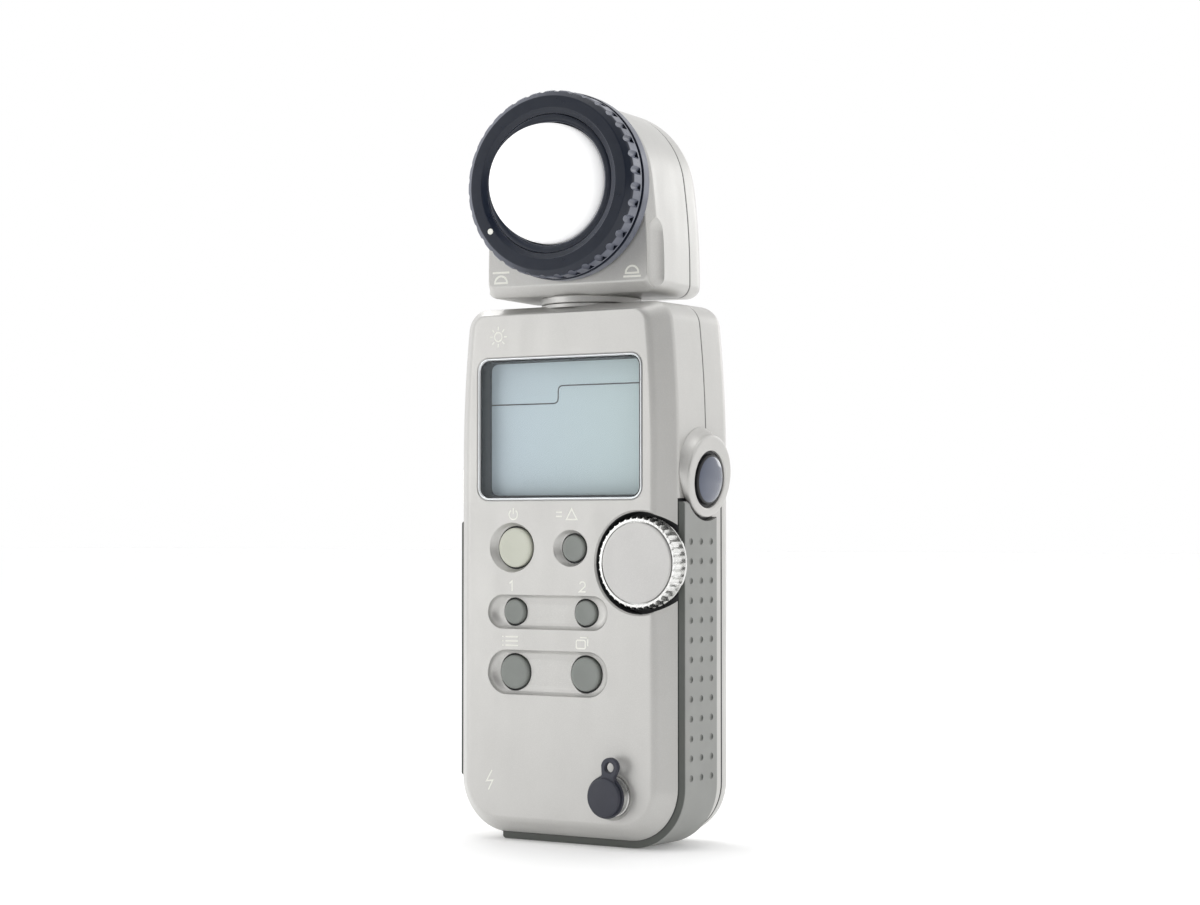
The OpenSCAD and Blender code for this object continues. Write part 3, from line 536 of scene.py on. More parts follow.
def front_shell():
    rings = front_rings(0)
    rings += [at(body_outline(0), PART_LOW_Y - SEAM_SOFT), at(body_outline(SEAM_EDGE), PART_LOW_Y),
              at(body_outline(WALL), PART_LOW_Y), at(body_outline(WALL), SIDE_Y + 0.8),
              at(face_outline(WALL / 2), FACE_Y + WALL)]
    shell = loft("front_shell_skin", rings)
    pads = [block((-19.4, FACE_Y + 1.2, 28.2), (13.8, -9.7, 67.8)),
            cylinder(JOG, JOG_WELL_R + 1, FACE_Y + 1.4, JOG_BACK_Y + 1.2), cylinder(SYNC, 6, FACE_Y + 1, -9)]
    for pad in pads:
        combine(pad, [loft("skin", front_rings(0.02) + [at(body_outline(0.02), 0)])], "INTERSECT")
    combine(shell, pads, "UNION")
    cutters = shared_cutters()
    cutters += [bush_hole(11), grip_band("cut", 0.16, 0.7), left_band("cut", 0.16),
                block((-40, PART_HIGH_Y, STEP_Z), (40, 20, 130)),
                tablet("cut", 0, DISPLAY.z, DISPLAY_W, DISPLAY_H, 2.6,
                       lift(FACE_Y, [(-0.35, -1), (-0.35, -0.01), (-0.03, 0.26), (-0.03, 3)]))]
    cutters += [key_dish(KEY_AT[node], KEY_R[node] + KEY_GAP) for node in DISHED]
    cutters += [cylinder(KEY_AT[node], KEY_R[node] + KEY_GAP, FACE_Y - 1, -8, steps=64) for node in SLOTTED]
    slope = lift(FACE_Y, [(-0.15, -1), (-0.15, -0.02), (-0.04, 0.08), (0.075, 0.55), (0.3, 0.95), (0.7, 1.25),
                          (1.3, 1.45), (1.9, SLOT_DEPTH)])
    cutters += [tablet("cut", SLOT_X, z, SLOT_LEN, height, height / 2, slope, 10) for z, height in SLOT_ROWS]
    cutters.append(rod(JOG, [(JOG_WELL_R + 0.35, FACE_Y - 1.5), (JOG_WELL_R + 0.35, FACE_Y - 0.02),
                             (JOG_WELL_R, FACE_Y + 0.3), (JOG_WELL_R, JOG_BACK_Y + 0.3)]))
    seat = [(5.1, -1), (5.1, -0.02)] + bend((4.9, 0.02), (4.5, 0.3), (4.3, 0.32)) + [(SYNC_HOLE_R, 0.4)]
    cutters.append(rod(SYNC, lift(FACE_Y, seat) + [(SYNC_HOLE_R, -8)]))
    place(combine(shell, cutters), "body", "champagne_shell", ["front_shell"], angle=24)


def rear_shell():
    start, edge_r = PART_HIGH_Y + SEAM, 4
    rings = [at(body_outline(WALL), start), at(body_outline(SEAM_EDGE), start),
             at(body_outline(0), start + SEAM_SOFT)]
    rings += back_edge(body_outline, edge_r, BACK_Y, 8)
    rings += [at(body_outline(edge_r), BACK_Y - WALL), at(body_outline(WALL), BACK_Y - edge_r)]
    shell = loft("rear_shell_skin", rings, hoop=True)
    combine(shell, [loft("cap", [at(body_outline(edge_r), y) for y in (BACK_Y - WALL, BACK_Y)])], "UNION")
    low, high = span("battery_cover")
    cutters = shared_cutters()
    cutters += [block((-40, -5, -5), (40, PART_LOW_Y + SEAM, STEP_Z + SEAM)),
                tablet("cut", 0, (low.z + high.z) / 2, high.x * 2 + 0.6, high.z - low.z + 0.6, 1.2,
                       [(0, 5), (0, BACK_Y - 0.25), (-0.25, BACK_Y + 0.01), (-0.25, BACK_Y + 2)]),
                block((-3.4, 5, high.z), (3.4, BACK_Y + 1, span("cover_latch")[1].z + 0.4))]
    hole = lift(BACK_Y, [(2.0, -1.3), (2.0, -0.2), (2.3, 0.02), (2.3, 2)])
    cutters += [rod((x, 0, z), hole, steps=48) for x, z in screw_places("shell_screws")]
    place(combine(shell, cutters), "body", "champagne_shell", ["rear_shell"], angle=24)


def seam_shade_strips():
    """Black strips down in the parting lines: painted shade in the gaps between the shells."""
    def strip(name, outline, y, matrix=None):
        y0, y1 = y + 0.01, y + SEAM - 0.01
        section = ((SHADE_STRIP_DEEP, y0), (SHADE_STRIP_DEEP, y1), (SHADE_STRIP_BACK, y1), (SHADE_STRIP_BACK, y0))
        return loft(name, [at(outline(d), q) for d, q in section], matrix, hoop=True)

    upper = strip("upper", body_outline, PART_HIGH_Y)
    lower = strip("lower", body_outline, PART_LOW_Y)
    combine(upper, [block((-40, -5, -5), (40, 20, STEP_Z + SEAM))])
    combine(lower, [block((-40, -5, STEP_Z), (40, 20, 130))])
    mid, half = HALF_W - (SHADE_STRIP_BACK + SHADE_STRIP_DEEP) / 2, (SHADE_STRIP_BACK - SHADE_STRIP_DEEP) / 2
    steps = [block((x - half, PART_HIGH_Y + SEAM, STEP_Z + 0.01), (x + half, PART_LOW_Y, STEP_Z + SEAM - 0.01))
             for x in (-mid, mid)]
    place(join("body_seam_shade", [upper, lower] + steps), "body", "black_plastic")
    place(strip("head_seam_shade", head_outline, HEAD_PART_Y, HEAD), "head", "black_plastic")


def screw_places(node, matrix=None):
    """Centres of the screws that one CAD node holds: one in each quarter of its box."""
    points = points_of(node, matrix)
    low, high = corners(points)
    rows = [low.z - 1, high.z + 1]
    if high.z - low.z > 10:
        rows.insert(1, (low.z + high.z) / 2)
    places = []
    for z0, z1 in zip(rows, rows[1:]):
        for side in (-1, 1):
            a, b = corners([p for p in points if z0 < p.z < z1 and p.x * side > 0])
            places.append(((a.x + b.x) / 2, (a.z + b.z) / 2))
    return places


def screws(name, node, body, back_y, matrix=None, inverse=None):
    """Countersunk heads with a cross recess."""
    profile = [(0, -3), (0.95, -3), (0.95, -1.3), (1.9, -1.3)]
    profile += bend((1.9, -0.55), (1.9, -0.35), (1.5, -0.33)) + [(0, -0.28)]
    parts = []
    for x, z in screw_places(node, inverse):
        head = rod((x, 0, z), lift(back_y, profile), steps=48, matrix=matrix)
        cross = [block((x - a, back_y - 0.8, z - b), (x + a, back_y + 1, z + b), matrix)
                 for a, b in ((1.15, 0.2), (0.2, 1.15))]
        parts.append(combine(head, cross))
    place(join(name, parts), body, "screw_steel", [node], round_mm=0.04)


# ---- grips

GRIP = span("right_grip")
GRIP_PROUD = GRIP[1].x - HALF_W
GRIP_SINK = 0.7
LEFT_GRIP = span("left_grip")


def band(name, path, box, proud, grow, soft):
    """A band over the depth of a box that follows a path: path(d) gives its line d outside the shell."""
    y0, y1 = box[0].y - grow, box[1].y + grow
    proud, sink, edge = proud + grow, GRIP_SINK + grow, 0.01 if grow else soft
    section = [(-sink, y1), (-sink, y0)] + bend((proud - edge, y0), (proud, y0), (proud, y0 + edge), 3)
    section += bend((proud, y1 - edge), (proud, y1), (proud - edge, y1), 3)
    return loft(name, list(zip(*[at(path(d), y) for d, y in section])))


def grip_band(name, grow, rise=0.0, proud=GRIP_PROUD):
    """The right grip: down the side, round the corner and along the base."""
    def path(d):
        x0, z1 = GRIP[0].x - grow, GRIP[1].z + rise
        taper = 0.3 if not grow and d > 0 else 0
        line = [(x0, BASE_Z - d + taper), (x0 + 0.4, BASE_Z - d)]
        line += arc(HALF_W - CORNER_R, BASE_Z + CORNER_R, CORNER_R + d, -90, 0, 20)
        return line + [(HALF_W + d, z1 - 0.4), (HALF_W + d - taper, z1)]
    return band(name, path, GRIP, proud, grow, 0.35)


def left_band(name, grow):
    """The left grip: a flat strip on the far side."""
    def path(d):
        x, z0, z1 = -HALF_W - d, LEFT_GRIP[0].z - grow, LEFT_GRIP[1].z + grow
        taper = 0.25 if not grow and d > 0 else 0
        return [(x + taper, z0), (x, z0 + 0.4), (x, z1 - 0.4), (x + taper, z1)]
    return band(name, path, LEFT_GRIP, -LEFT_GRIP[0].x - HALF_W, grow, 0.3)


def grips():
    dimple = lift(GRIP[1].x, [(0, -0.42)] + bend((0.25, -0.42), (0.6, -0.36), (0.75, 0.02)) + [(0.8, 0.5)])
    dimples = [rod((0, y, 62.7 - 4 * row), dimple, axis="X", steps=20)
               for row in range(13) for y in (-6.5, -2.5, 1.5)]
    boss_z = BOSS_Z + BOSS_FACE_Z - BOSS_H * sin(BOSS_TILT)
    round_boss = cylinder((0, 0, boss_z), BOSS_R + 0.7, HALF_W - 3, HALF_W + 4, axis="X")
    grip = combine(grip_band("right_grip_rubber", 0), [join("dimples", dimples), round_boss, bush_hole(4)])
    place(grip, "body", "grip_rubber", ["right_grip"], angle=35)
    # black band under the grip that shows round its edges: painted shade in the gap between grip and shell
    gap_shade = combine(grip_band("right_grip_gap_shade", 0.13, 0.66, -0.25), [bush_hole(4), boss_hole()])
    place(gap_shade, "body", "black_plastic")
    place(left_band("left_grip_rubber", 0), "body", "grip_rubber", ["left_grip"], angle=35)


# ---- display


def display():
    def part(name, smaller, radius, path, slot, nodes, hoop=False):
        piece = tablet(name, 0, DISPLAY.z, DISPLAY_W - smaller, DISPLAY_H - smaller, radius, path, hoop=hoop)
        place(piece, "body", slot, nodes)

    rim = [(0, 1.0), (0, 0.22)] + bend((0.02, 0.05), (0.12, -0.08), (0.3, -0.02), 4) + [(0.48, 0.2), (0.5, 1.0)]
    part("display_rim", 0, 2.57, lift(FACE_Y, rim), "bezel", ["display_bezel"], hoop=True)
    well_y = span("display_gasket")[1].y
    well = lift(FACE_Y, [(0.05, 1.1), (0.62, 0.3), (0.75, 0.32)]) + [(1.0, well_y), (0.05, well_y)]
    part("display_well", 0, 2.57, well, "black_plastic", ["display_gasket"], hoop=True)
    front, back = [corner.y for corner in span("display_window")]
    pane = [(0.1, front), (0, front + 0.1), (0, back)]
    part("display_pane", 1.3, 2, pane, "clear_window", ["display_window"])
    crystal = [(0, well_y + 0.02), (0, span("display_panel")[1].y)]
    part("crystal_panel", 0.2, 1, crystal, "display_glass", ["display_panel"])
    line = [(-20.2, 91.5), (-5.0, 91.5)] + bend((-3.6, 91.5), (-2.4, 91.5), (-2.4, 92.7), 4)
    line += bend((-2.4, 94.0), (-2.4, 95.2), (-1.2, 95.2), 4) + [(20.2, 95.2)]
    place(strokes("display_line", [(line, False)], 0.26, well_y - 0.01, 0.02), "body", "dark_liner")


# ---- thin markings


def strokes(name, paths, width, y, thick, matrix=None):
    """Flat ribbons along paths across X and Z, thick deep, with their front at depth y - thick."""
    parts = []
    for path, closed in paths:
        points = [Vector(p) for p in path]
        rings = []
        for i, point in enumerate(points):
            one = point - points[i - 1] if i or closed else Vector((0, 0))
            two = points[(i + 1) % len(points)] - point if i < len(points) - 1 or closed else Vector((0, 0))
            one = (one if one.length > 1e-6 else two).normalized()
            two = two.normalized() if two.length > 1e-6 else one
            along = (one + two).normalized()
            reach = Vector((-along.y, along.x)) * width / 2 / max(0.35, along.dot(one))
            a, b = point + reach, point - reach
            rings.append([(a.x, y, a.y), (b.x, y, b.y), (b.x, y - thick, b.y), (a.x, y - thick, a.y)])
        parts.append(loft("stroke", rings, hoop=closed))
    piece = join(name, parts)
    if matrix:
        piece.data.transform(matrix)
    return piece


def ring_path(cx, cz, r):
    return arc(cx, cz, r, 0, 360, 28)[:-1], True


def bar(x0, z0, x1, z1):
    return [(x0, z0), (x1, z1)], False


def body_markings():
    """Generic symbols in place of the printed words."""
    power, average, key_1, key_2, mode, memory = KEY_AT.values()
    x, z = power.x, power.z + 6.9
    paths = [(arc(x, z, 1.05, 125, 415, 28), False), bar(x, z + 0.1, x, z + 1.35)]
    x = average.x
    paths += [([(x - 1.3, z - 1.05), (x, z + 1.15), (x + 1.3, z - 1.05)], True),
              bar(x - 3.9, z - 0.4, x - 2.4, z - 0.4), bar(x - 3.9, z + 0.45, x - 2.4, z + 0.45)]
    x, z = key_1.x, key_1.z + 5.4
    paths.append(([(x - 0.55, z + 0.55), (x + 0.1, z + 1.05), (x + 0.1, z - 1.05)], False))
    x = key_2.x
    paths.append((arc(x, z + 0.4, 0.68, 165, -25, 10) + [(x - 0.72, z - 0.98), (x + 0.76, z - 0.98)], False))
    x, z = mode.x, mode.z + 6.5
    for start, end in ((-1.6, 1.6), (-2.4, -2.1)):
        paths += [bar(x + start, z + d, x + end, z + d) for d in (-0.9, 0, 0.9)]
    x = memory.x
    paths += [(rounded(x - 0.4, z - 0.3, 2.2, 1.7, 0.3, 3), True), bar(x - 0.6, z + 1.1, x + 1.3, z + 1.1),
              bar(x + 1.3, z + 1.2, x + 1.3, z - 0.6)]
    x, z = -15.2, TOP_Z - 6.2
    paths.append(ring_path(x, z, 0.95))
    for i in range(8):
        u, v = cos(pi / 4 * i), sin(pi / 4 * i)
        paths.append(bar(x + 1.45 * u, z + 1.45 * v, x + 2.2 * u, z + 2.2 * v))
    x, z = -17.2, 12.6
    paths.append(([(x + 0.5, z + 2), (x - 0.9, z - 0.3), (x + 0.7, z - 0.1), (x - 0.4, z - 2.1)], False))
    place(strokes("front_markings", paths, 0.3, FACE_Y + 0.01, 0.025), "body", "index_white")


def head_markings():
    """Dome-up and dome-down symbols under the ring."""
    paths = []
    for x, dome_z, bar_z in ((-15.6, 117.0, 119.2), (15.2, 117.8, 117.1)):
        paths += [(arc(x, dome_z, 1.45, 0, 180, 16), True), bar(x - 2.0, bar_z, x + 2.0, bar_z)]
    place(strokes("head_symbols", paths, 0.42, HEAD_FRONT[0].y + 0.01, 0.025, HEAD), "head", "index_white")


# ---- keys and jog wheel


def keys():
    wells = []
    for node, body, slot in KEYS:
        face, back = [corner.y for corner in span(node)]
        r, hollow = KEY_R[node], 0.16
        flange = r + FLANGE_RIM - 0.05
        profile = [(0, hollow), (r * 0.3, hollow * 0.86), (r * 0.6, hollow * 0.4)]
        profile = lift(face, profile + bend((r * 0.8, 0), (r - 0.05, 0), (r - 0.02, 0.3)) + [(r, 0.6)])
        profile += lift(back, [(r, -0.4), (flange, -0.38), (flange, 0), (0, 0)])
        place(turned(node + "_cap", KEY_AT[node], profile, steps=72, hoop=False), body, slot, [node])
        # black rings down in the gaps round the keys: painted shade
        inner, outer = r + 0.03, r + KEY_GAP - 0.01
        floor_y, end_y = face + (1.0 if node in DISHED else 1.1), back - 0.5
        gap = [(inner, floor_y), (outer, floor_y), (outer, end_y), (inner, end_y)]
        wells.append(turned("well", KEY_AT[node], gap, steps=72))
    place(join("key_gap_shade", wells), "body", "black_plastic")


def jog():
    teeth, per_tooth, hollow = 40, 8, 0.52

    def knurl(radius, depth, y):
        """Ring of sharp teeth with round hollows between them."""
        ring = []
        for i in range(teeth * per_tooth):
            share = (i % per_tooth) / per_tooth
            r = radius - depth * (1 - (2 * share - 1) ** 2) ** 0.75
            a = i / per_tooth * 2 * pi / teeth
            ring.append((JOG.x + r * cos(a), y, JOG.z + r * sin(a)))
        return ring

    front, rim, back = JOG_FRONT_Y + 0.2, JOG_DISC_R + 0.14, JOG_BACK_Y
    rings = [(rim, 0, front + 0.6), (rim, 0, front + 0.06), (rim + 0.08, 0, front), (JOG_R - 0.5, 0, front),
             (JOG_R - 0.25, hollow * 0.6, front + 0.06), (JOG_R, hollow, front + 0.35),
             (JOG_R, hollow, back - 0.9), (JOG_R - 0.12, hollow * 0.8, back - 0.65), (JOG_R - 0.1, 0, back - 0.6),
             (JOG_R - 0.02, 0, back - 0.5), (JOG_R - 0.02, 0, back - 0.1), (JOG_R - 0.15, 0, back),
             (2.05, 0, back), (2.05, 0, front + 0.6)]
    place(loft("jog_rim", [knurl(*ring) for ring in rings], hoop=True), "jog", "jog_metal", ["jog_wheel"], angle=28)
    r = JOG_DISC_R - 0.06
    disc = [(0, 0), (r - 0.5, 0)] + bend((r - 0.3, 0), (r, 0), (r, 0.3), 4) + [(r, 0.75), (0, 0.75)]
    place(turned("jog_face_disc", JOG, lift(JOG_FRONT_Y, disc), hoop=False), "jog", "jog_face", ["jog_disc"])
    # black ring down inside the wheel's well, so the gap round the wheel shows black
    inner, outer, front = JOG_WELL_R - 0.12, JOG_WELL_R + 0.02, FACE_Y + 0.45
    black_ring = turned("jog_well_black_ring", JOG, [(inner, front), (outer, front), (outer, back + 0.29), (2.3, back + 0.29),
                                           (2.3, back + 0.14), (inner, back + 0.14)])
    inside = loft("inside", front_rings(0.1, 0.15) + [at(body_outline(0.1), 0)])
    place(combine(black_ring, [inside], "INTERSECT"), "body", "black_plastic")


# ---- measuring button, fittings and neck


def boss():
    """Flared surround: its foot on the side is higher than its face, which leans down with the button's axis."""
    steps = 128
    circle = [(cos(2 * pi * i / steps), sin(2 * pi * i / steps)) for i in range(steps)]
    lean = ON_BOSS.copy()
    lean.translation /= MM

    def tilted(radius, height):
        return [lean @ Vector((height, radius * c, BOSS_FACE_Z + radius * d)) for c, d in circle]

    side_x = HALF_W + 0.02
    foot = [Vector((side_x, BOSS_ROOT_R * c, BOSS_ROOT_Z + BOSS_ROOT_R * d)) for c, d in circle]
    waist = tilted(BOSS_R + 0.02, BOSS_H - 0.75)
    flare = []
    for t in (0.15, 0.35, 0.6, 0.85):
        ring = [p.lerp(q, t) for p, q in zip(foot, waist)]
        flare.append([Vector((max(p.x - 0.25 * sin(pi * t), side_x), p.y, p.z)) for p in ring])
    edge = [tilted(r, h) for r, h in bend((BOSS_R, BOSS_H - 0.55), (BOSS_R, BOSS_H), (BOSS_R - 0.75, BOSS_H), 6)]
    root = [p - Vector((0.01, 0, 0)) for p in foot]
    solid = loft("button_boss", [root, foot] + flare + [waist] + edge)
    combine(solid, [cylinder(ORIGIN, BOSS_NECK_R - 0.05, -2.4, 0.6, axis="X", matrix=ON_BOSS)], "UNION")
    bore, mouth = BUTTON_R + 0.2, 5.86
    funnel = [(mouth, -0.5)] + bend((mouth + 0.03, -0.3), (mouth + 0.1, -0.06), (mouth + 0.6, 0.01))
    funnel = [(bore, -5), (bore, 0.5), (mouth - 0.05, 1.0)] + lift(BOSS_H, funnel + [(mouth + 0.7, 1)])
    combine(solid, [rod(ORIGIN, funnel, axis="X", matrix=ON_BOSS)])
    place(solid, "body", "champagne_shell", ["button_surround"])

    def on_boss(name, profile, body, slot, nodes=(), hoop=True, angle=32):
        place(turned(name, ORIGIN, profile, axis="X", hoop=hoop, matrix=ON_BOSS), body, slot, nodes, angle)

    # black ring inside the funnel round the button: painted shade in the gap
    black_ring = [(bore - 0.08, -1), (bore - 0.08, 1.45), (mouth - 0.04, 1.5), (mouth - 0.04, 0.9), (bore + 0.02, 0.5),
             (bore + 0.02, -1)]
    on_boss("boss_mouth_shade_ring", black_ring, "body", "black_plastic")
    r, top = BUTTON_R, BUTTON_H - 0.03
    sleeve = [(r + 0.03, -0.9), (r, -0.72), (r * 0.965, -0.58), (r * 0.93, -0.5), (r - 0.5, -0.8)]
    sleeve = [(r - 0.4, -2), (r + 0.03, -2)] + lift(top, sleeve)
    on_boss("measure_sleeve", sleeve, "measure_key", "black_plastic")
    dome = [(0, 0), (r * 0.3, -0.03), (r * 0.6, -0.13), (r * 0.8, -0.3), (r * 0.9, -0.46)]
    dome = lift(top, dome + bend((r * 0.955, -0.6), (r, -0.72), (r, -1.0), 4))
    dome += [(r, -2.5), (r + 0.55, -2.5), (r + 0.55, -3), (0, -3)]
    on_boss("measure_dome", dome, "measure_key", "measure_gloss", ["measure_button"], hoop=False, angle=40)


def sync():
    front = span("sync_terminal")[0].y
    inner_end, flange = (2.6, -9), 0.38
    collar = [(1.8, -9)] + lift(front, [(1.8, 0.3), (1.95, 0.05), (2.1, 0), (3.2, 0), (3.35, 0.15)])
    collar += lift(FACE_Y, [(3.37, 0.2), (3.75, 0.2), (3.8, -0.04), (4.0, -0.05), (4.17, 0.05), (4.2, 0.2),
                            (4.2, flange), (2.6, flange)]) + [inner_end]
    place(turned("sync_collar", SYNC, collar), "body", "bright_metal", ["sync_terminal"], angle=25)
    low, high = span("terminal_cap")
    cap_r, back = SYNC.z - low.z - 0.1, high.y - 0.4
    inner = span("sync_terminal")[1].z - SYNC.z + 0.08
    cap = lift(low.y, [(0, 0)] + bend((cap_r - 0.35, 0), (cap_r, 0), (cap_r, 0.35)))
    cap += lift(back, [(cap_r, -0.15), (cap_r - 0.15, 0), (inner + 0.1, 0), (inner, -0.1)])
    cap += lift(low.y, [(inner, 0.8), (0, 0.8)])
    plug = turned("sync_cap", SYNC, cap, hoop=False)
    tab_r, tab_x, tab_y = 2.0, SYNC.x + 1.2, low.y + 0.4
    tab_z = high.z - tab_r
    lean = atan2(tab_x - SYNC.x, tab_z - SYNC.z)
    away = Vector((sin(lean), cos(lean)))
    across = Vector((away.y, -away.x))
    start = Vector((SYNC.x, SYNC.z)) + away * (cap_r - 1.2)
    turn = degrees(atan2(across.y, across.x))
    outline = [start + across * 2.2, start + across * 1.5 + away * 1.6]
    outline += arc(tab_x, tab_z, tab_r, turn, turn + 180, 20)
    outline += [start - across * 1.5 + away * 1.6, start - across * 2.2]
    centre = [sum(values) / len(outline) for values in zip(*outline)]
    tab = [at(between(outline, [centre] * len(outline), share), tab_y + y)
           for share, y in ((0.06, 0), (0, 0.15), (0, 1.05), (0.06, 1.2))]
    combine(plug, [loft("tab", tab)], "UNION")
    combine(plug, [eye((tab_x, 0, tab_z), 1.0, 0.2, tab_y, tab_y + 1.2)])
    place(plug, "cap", "cap_rubber", ["terminal_cap"], angle=35, round_mm=0.06)


def strap_lug():
    low, high = span("strap_lug")
    z0, z1, x0, side = low.z, high.z, low.x, -HALF_W
    outline = [(side + 2.6, z0), (side + 0.3, z0)] + bend((side - 0.6, z0 + 0.2), (x0, z0 + 0.9), (x0, z0 + 2.9))
    outline += bend((x0, z1 - 2.9), (x0, z1 - 0.9), (side - 0.6, z1 - 0.2)) + [(side + 0.3, z1), (side + 2.6, z1)]
    mid = (z0 + z1) / 2
    rings = [at([(x + inset if x < side else x, mid + (z - mid) * (1 - inset / 8)) for x, z in outline], y)
             for inset, y in ((0.3, low.y), (0, low.y + 0.3), (0, high.y - 0.3), (0.3, high.y))]
    hole = MOUNTS["strap_eye"]
    cutter = eye(Vector(hole["pos_m"]) / MM, hole["dims"]["r_mm"], 0.25, low.y, high.y)
    plate = combine(loft("strap_lug_plate", rings), [cutter])
    place(plate, "body", "bright_metal", ["strap_lug"], angle=30)


def neck():
    """The head's collar and the seat under it."""
    low, high = span("neck_disc")
    r, bore = high.x, 5.05
    disc = [(bore, low.z), (r - 0.15, low.z), (r, low.z + 0.15), (r, high.z - 0.25), (r - 0.25, high.z),
            (bore, high.z)]
    place(turned("neck_collar", ORIGIN, disc, axis="Z", steps=128), "head", "champagne_shell", ["neck_disc"])
    low, high = span("neck_base")
    r, foot_z = high.x, low.z - 0.4
    seat = [(NECK_HOLE_R, foot_z), (r, foot_z), (r, high.z - 0.1), (r - 0.1, high.z), (NECK_HOLE_R, high.z)]
    place(turned("neck_seat", ORIGIN, seat, axis="Z", steps=128), "body", "champagne_shell", ["neck_base"])


def tripod_thread():
    """Bush in the base with the crests of its thread showing."""
    low, high = span("tripod_bush")
    bore, depth = MOUNTS["tripod_socket"]["dims"]["r_mm"], MOUNTS["tripod_socket"]["dims"]["length_mm"]
    pitch, lead_in = 1.27, 0.5
    profile = [(high.x, low.z + 0.3), (high.x - 0.3, low.z), (bore + lead_in, low.z), (bore, low.z + lead_in)]
    for i in range(int((depth - lead_in) / pitch)):
        z = low.z + lead_in + i * pitch
        profile += [(bore, z + 0.12), (bore + 0.42, z + pitch / 2), (bore, z + pitch - 0.12)]
    profile += [(bore, depth), (0, depth), (0, high.z), (high.x, high.z)]
    place(turned("tripod_thread", ORIGIN, profile, axis="Z", steps=64), "body", "bright_metal", ["tripod_bush"],
          angle=25)


# ---- battery door


def battery_door():
    low, high = span("battery_cover")
    hinge = Vector(JOINTS["cover_open"]["pos_m"]) / MM
    roll_r, pin_r = BACK_Y - hinge.y, 0.66
    plate = lift(BACK_Y, [(0.15, -1.3), (0, -1.15), (0, -0.3), (0.3, 0)])
    door = tablet("battery_door", 0, (hinge.z + high.z) / 2, high.x - low.x, high.z - hinge.z, 1.0, plate)
    combine(door, [cylinder(hinge, roll_r, low.x + 0.02, high.x - 0.02, axis="X", steps=48)], "UNION")
    ear_x, ear_half, recess_y = 15.4, 0.8, BACK_Y - 0.95
    cutters = [cylinder(hinge, pin_r, -30, 30, axis="X", steps=24),
               block((-5.2, recess_y, 46.8), (5.2, 20, high.z - 1.2)),
               block((-3.2, recess_y, 50), (3.2, 20, high.z + 1))]
    cutters += [block((x - ear_half, 5, 10), (x + ear_half, 20, hinge.z + 2.6)) for x in (-ear_x, ear_x)]
    groove = lift(BACK_Y, [(0.15, -0.35), (-0.05, -0.05), (-0.15, 0.5)])
    cutters += [tablet("cut", 0, 22 + 2.2 * i, 20, 0.7, 0.34, groove, 4) for i in range(5)]
    place(combine(door, cutters), "cover", "champagne_shell", ["battery_cover"], angle=28)


def latch():
    top, back = span("cover_latch")[1].z, span("cover_latch")[1].y
    front, foot_z = BACK_Y - 0.65, 54
    plate = [(0.05, front), (0, front + 0.1), (0, BACK_Y - 0.2), (0.15, BACK_Y)]
    piece = tablet("battery_latch", 0, 52.1, 9.8, 5.0, 0.5, plate, sharpen=0)
    tongue = [(0.05, front), (0, front + 0.1), (0, BACK_Y - 0.3), (0.15, BACK_Y - 0.1)]
    extras = [tablet("tongue", 0, (foot_z + top) / 2, 5.8, top - foot_z, 0.4, tongue, sharpen=0)]
    for i in range(4):
        rib = [at(rounded(0, 50.55 + i * 1.1, 8.8 - d, 0.5 - d / 2, 0.12), y)
               for d, y in ((0, BACK_Y - 0.15), (0, BACK_Y + 0.25), (0.25, back))]
        extras.append(loft("rib", rib))
    place(combine(piece, extras, "UNION"), "latch", "latch_grey", ["cover_latch"], round_mm=0.05)


# ---- head

HEAD_FRONT = span("head_front", HEAD_BACK)
HEAD_REAR = span("head_rear", HEAD_BACK)
RING = span("dome_ring", HEAD_BACK)
RING_Z = (RING[0].z + RING[1].z) / 2
RING_R = RING[1].z - RING_Z
RING_CENTRE = (0, 0, RING_Z)
HEAD_LOW_Z, HEAD_TOP_Z = HEAD_FRONT[0].z, HEAD_FRONT[1].z
HEAD_HALF_W = HEAD_FRONT[1].x
HEAD_ARCH_R, HEAD_SIDE_R = HEAD_TOP_Z - RING_Z, 150
HEAD_TAPER_Z, HEAD_SLOPE = 118, 1.2
HEAD_FACE_Y, HEAD_PART_Y = HEAD_FRONT[0].y, HEAD_FRONT[1].y
HEAD_END_Y, HEAD_EDGE_R = HEAD_REAR[1].y - 0.04, 7
BARREL_R = 14.35


def head_outline(inset, up=0.0, drop=0.0):
    low, corner = HEAD_LOW_Z + inset + up, max(2.8 - inset, 0.5)
    return tapered(HEAD_HALF_W - inset, low, corner, max(HEAD_TAPER_Z, low + corner), HEAD_SIDE_R - inset,
                   HEAD_TOP_Z - inset - drop, HEAD_ARCH_R - inset, steps=20)


def sloping_outline(inset):
    """The head's outline on its way round the rear edge, which falls away more at the top."""
    return head_outline(inset, 0, inset * HEAD_SLOPE)


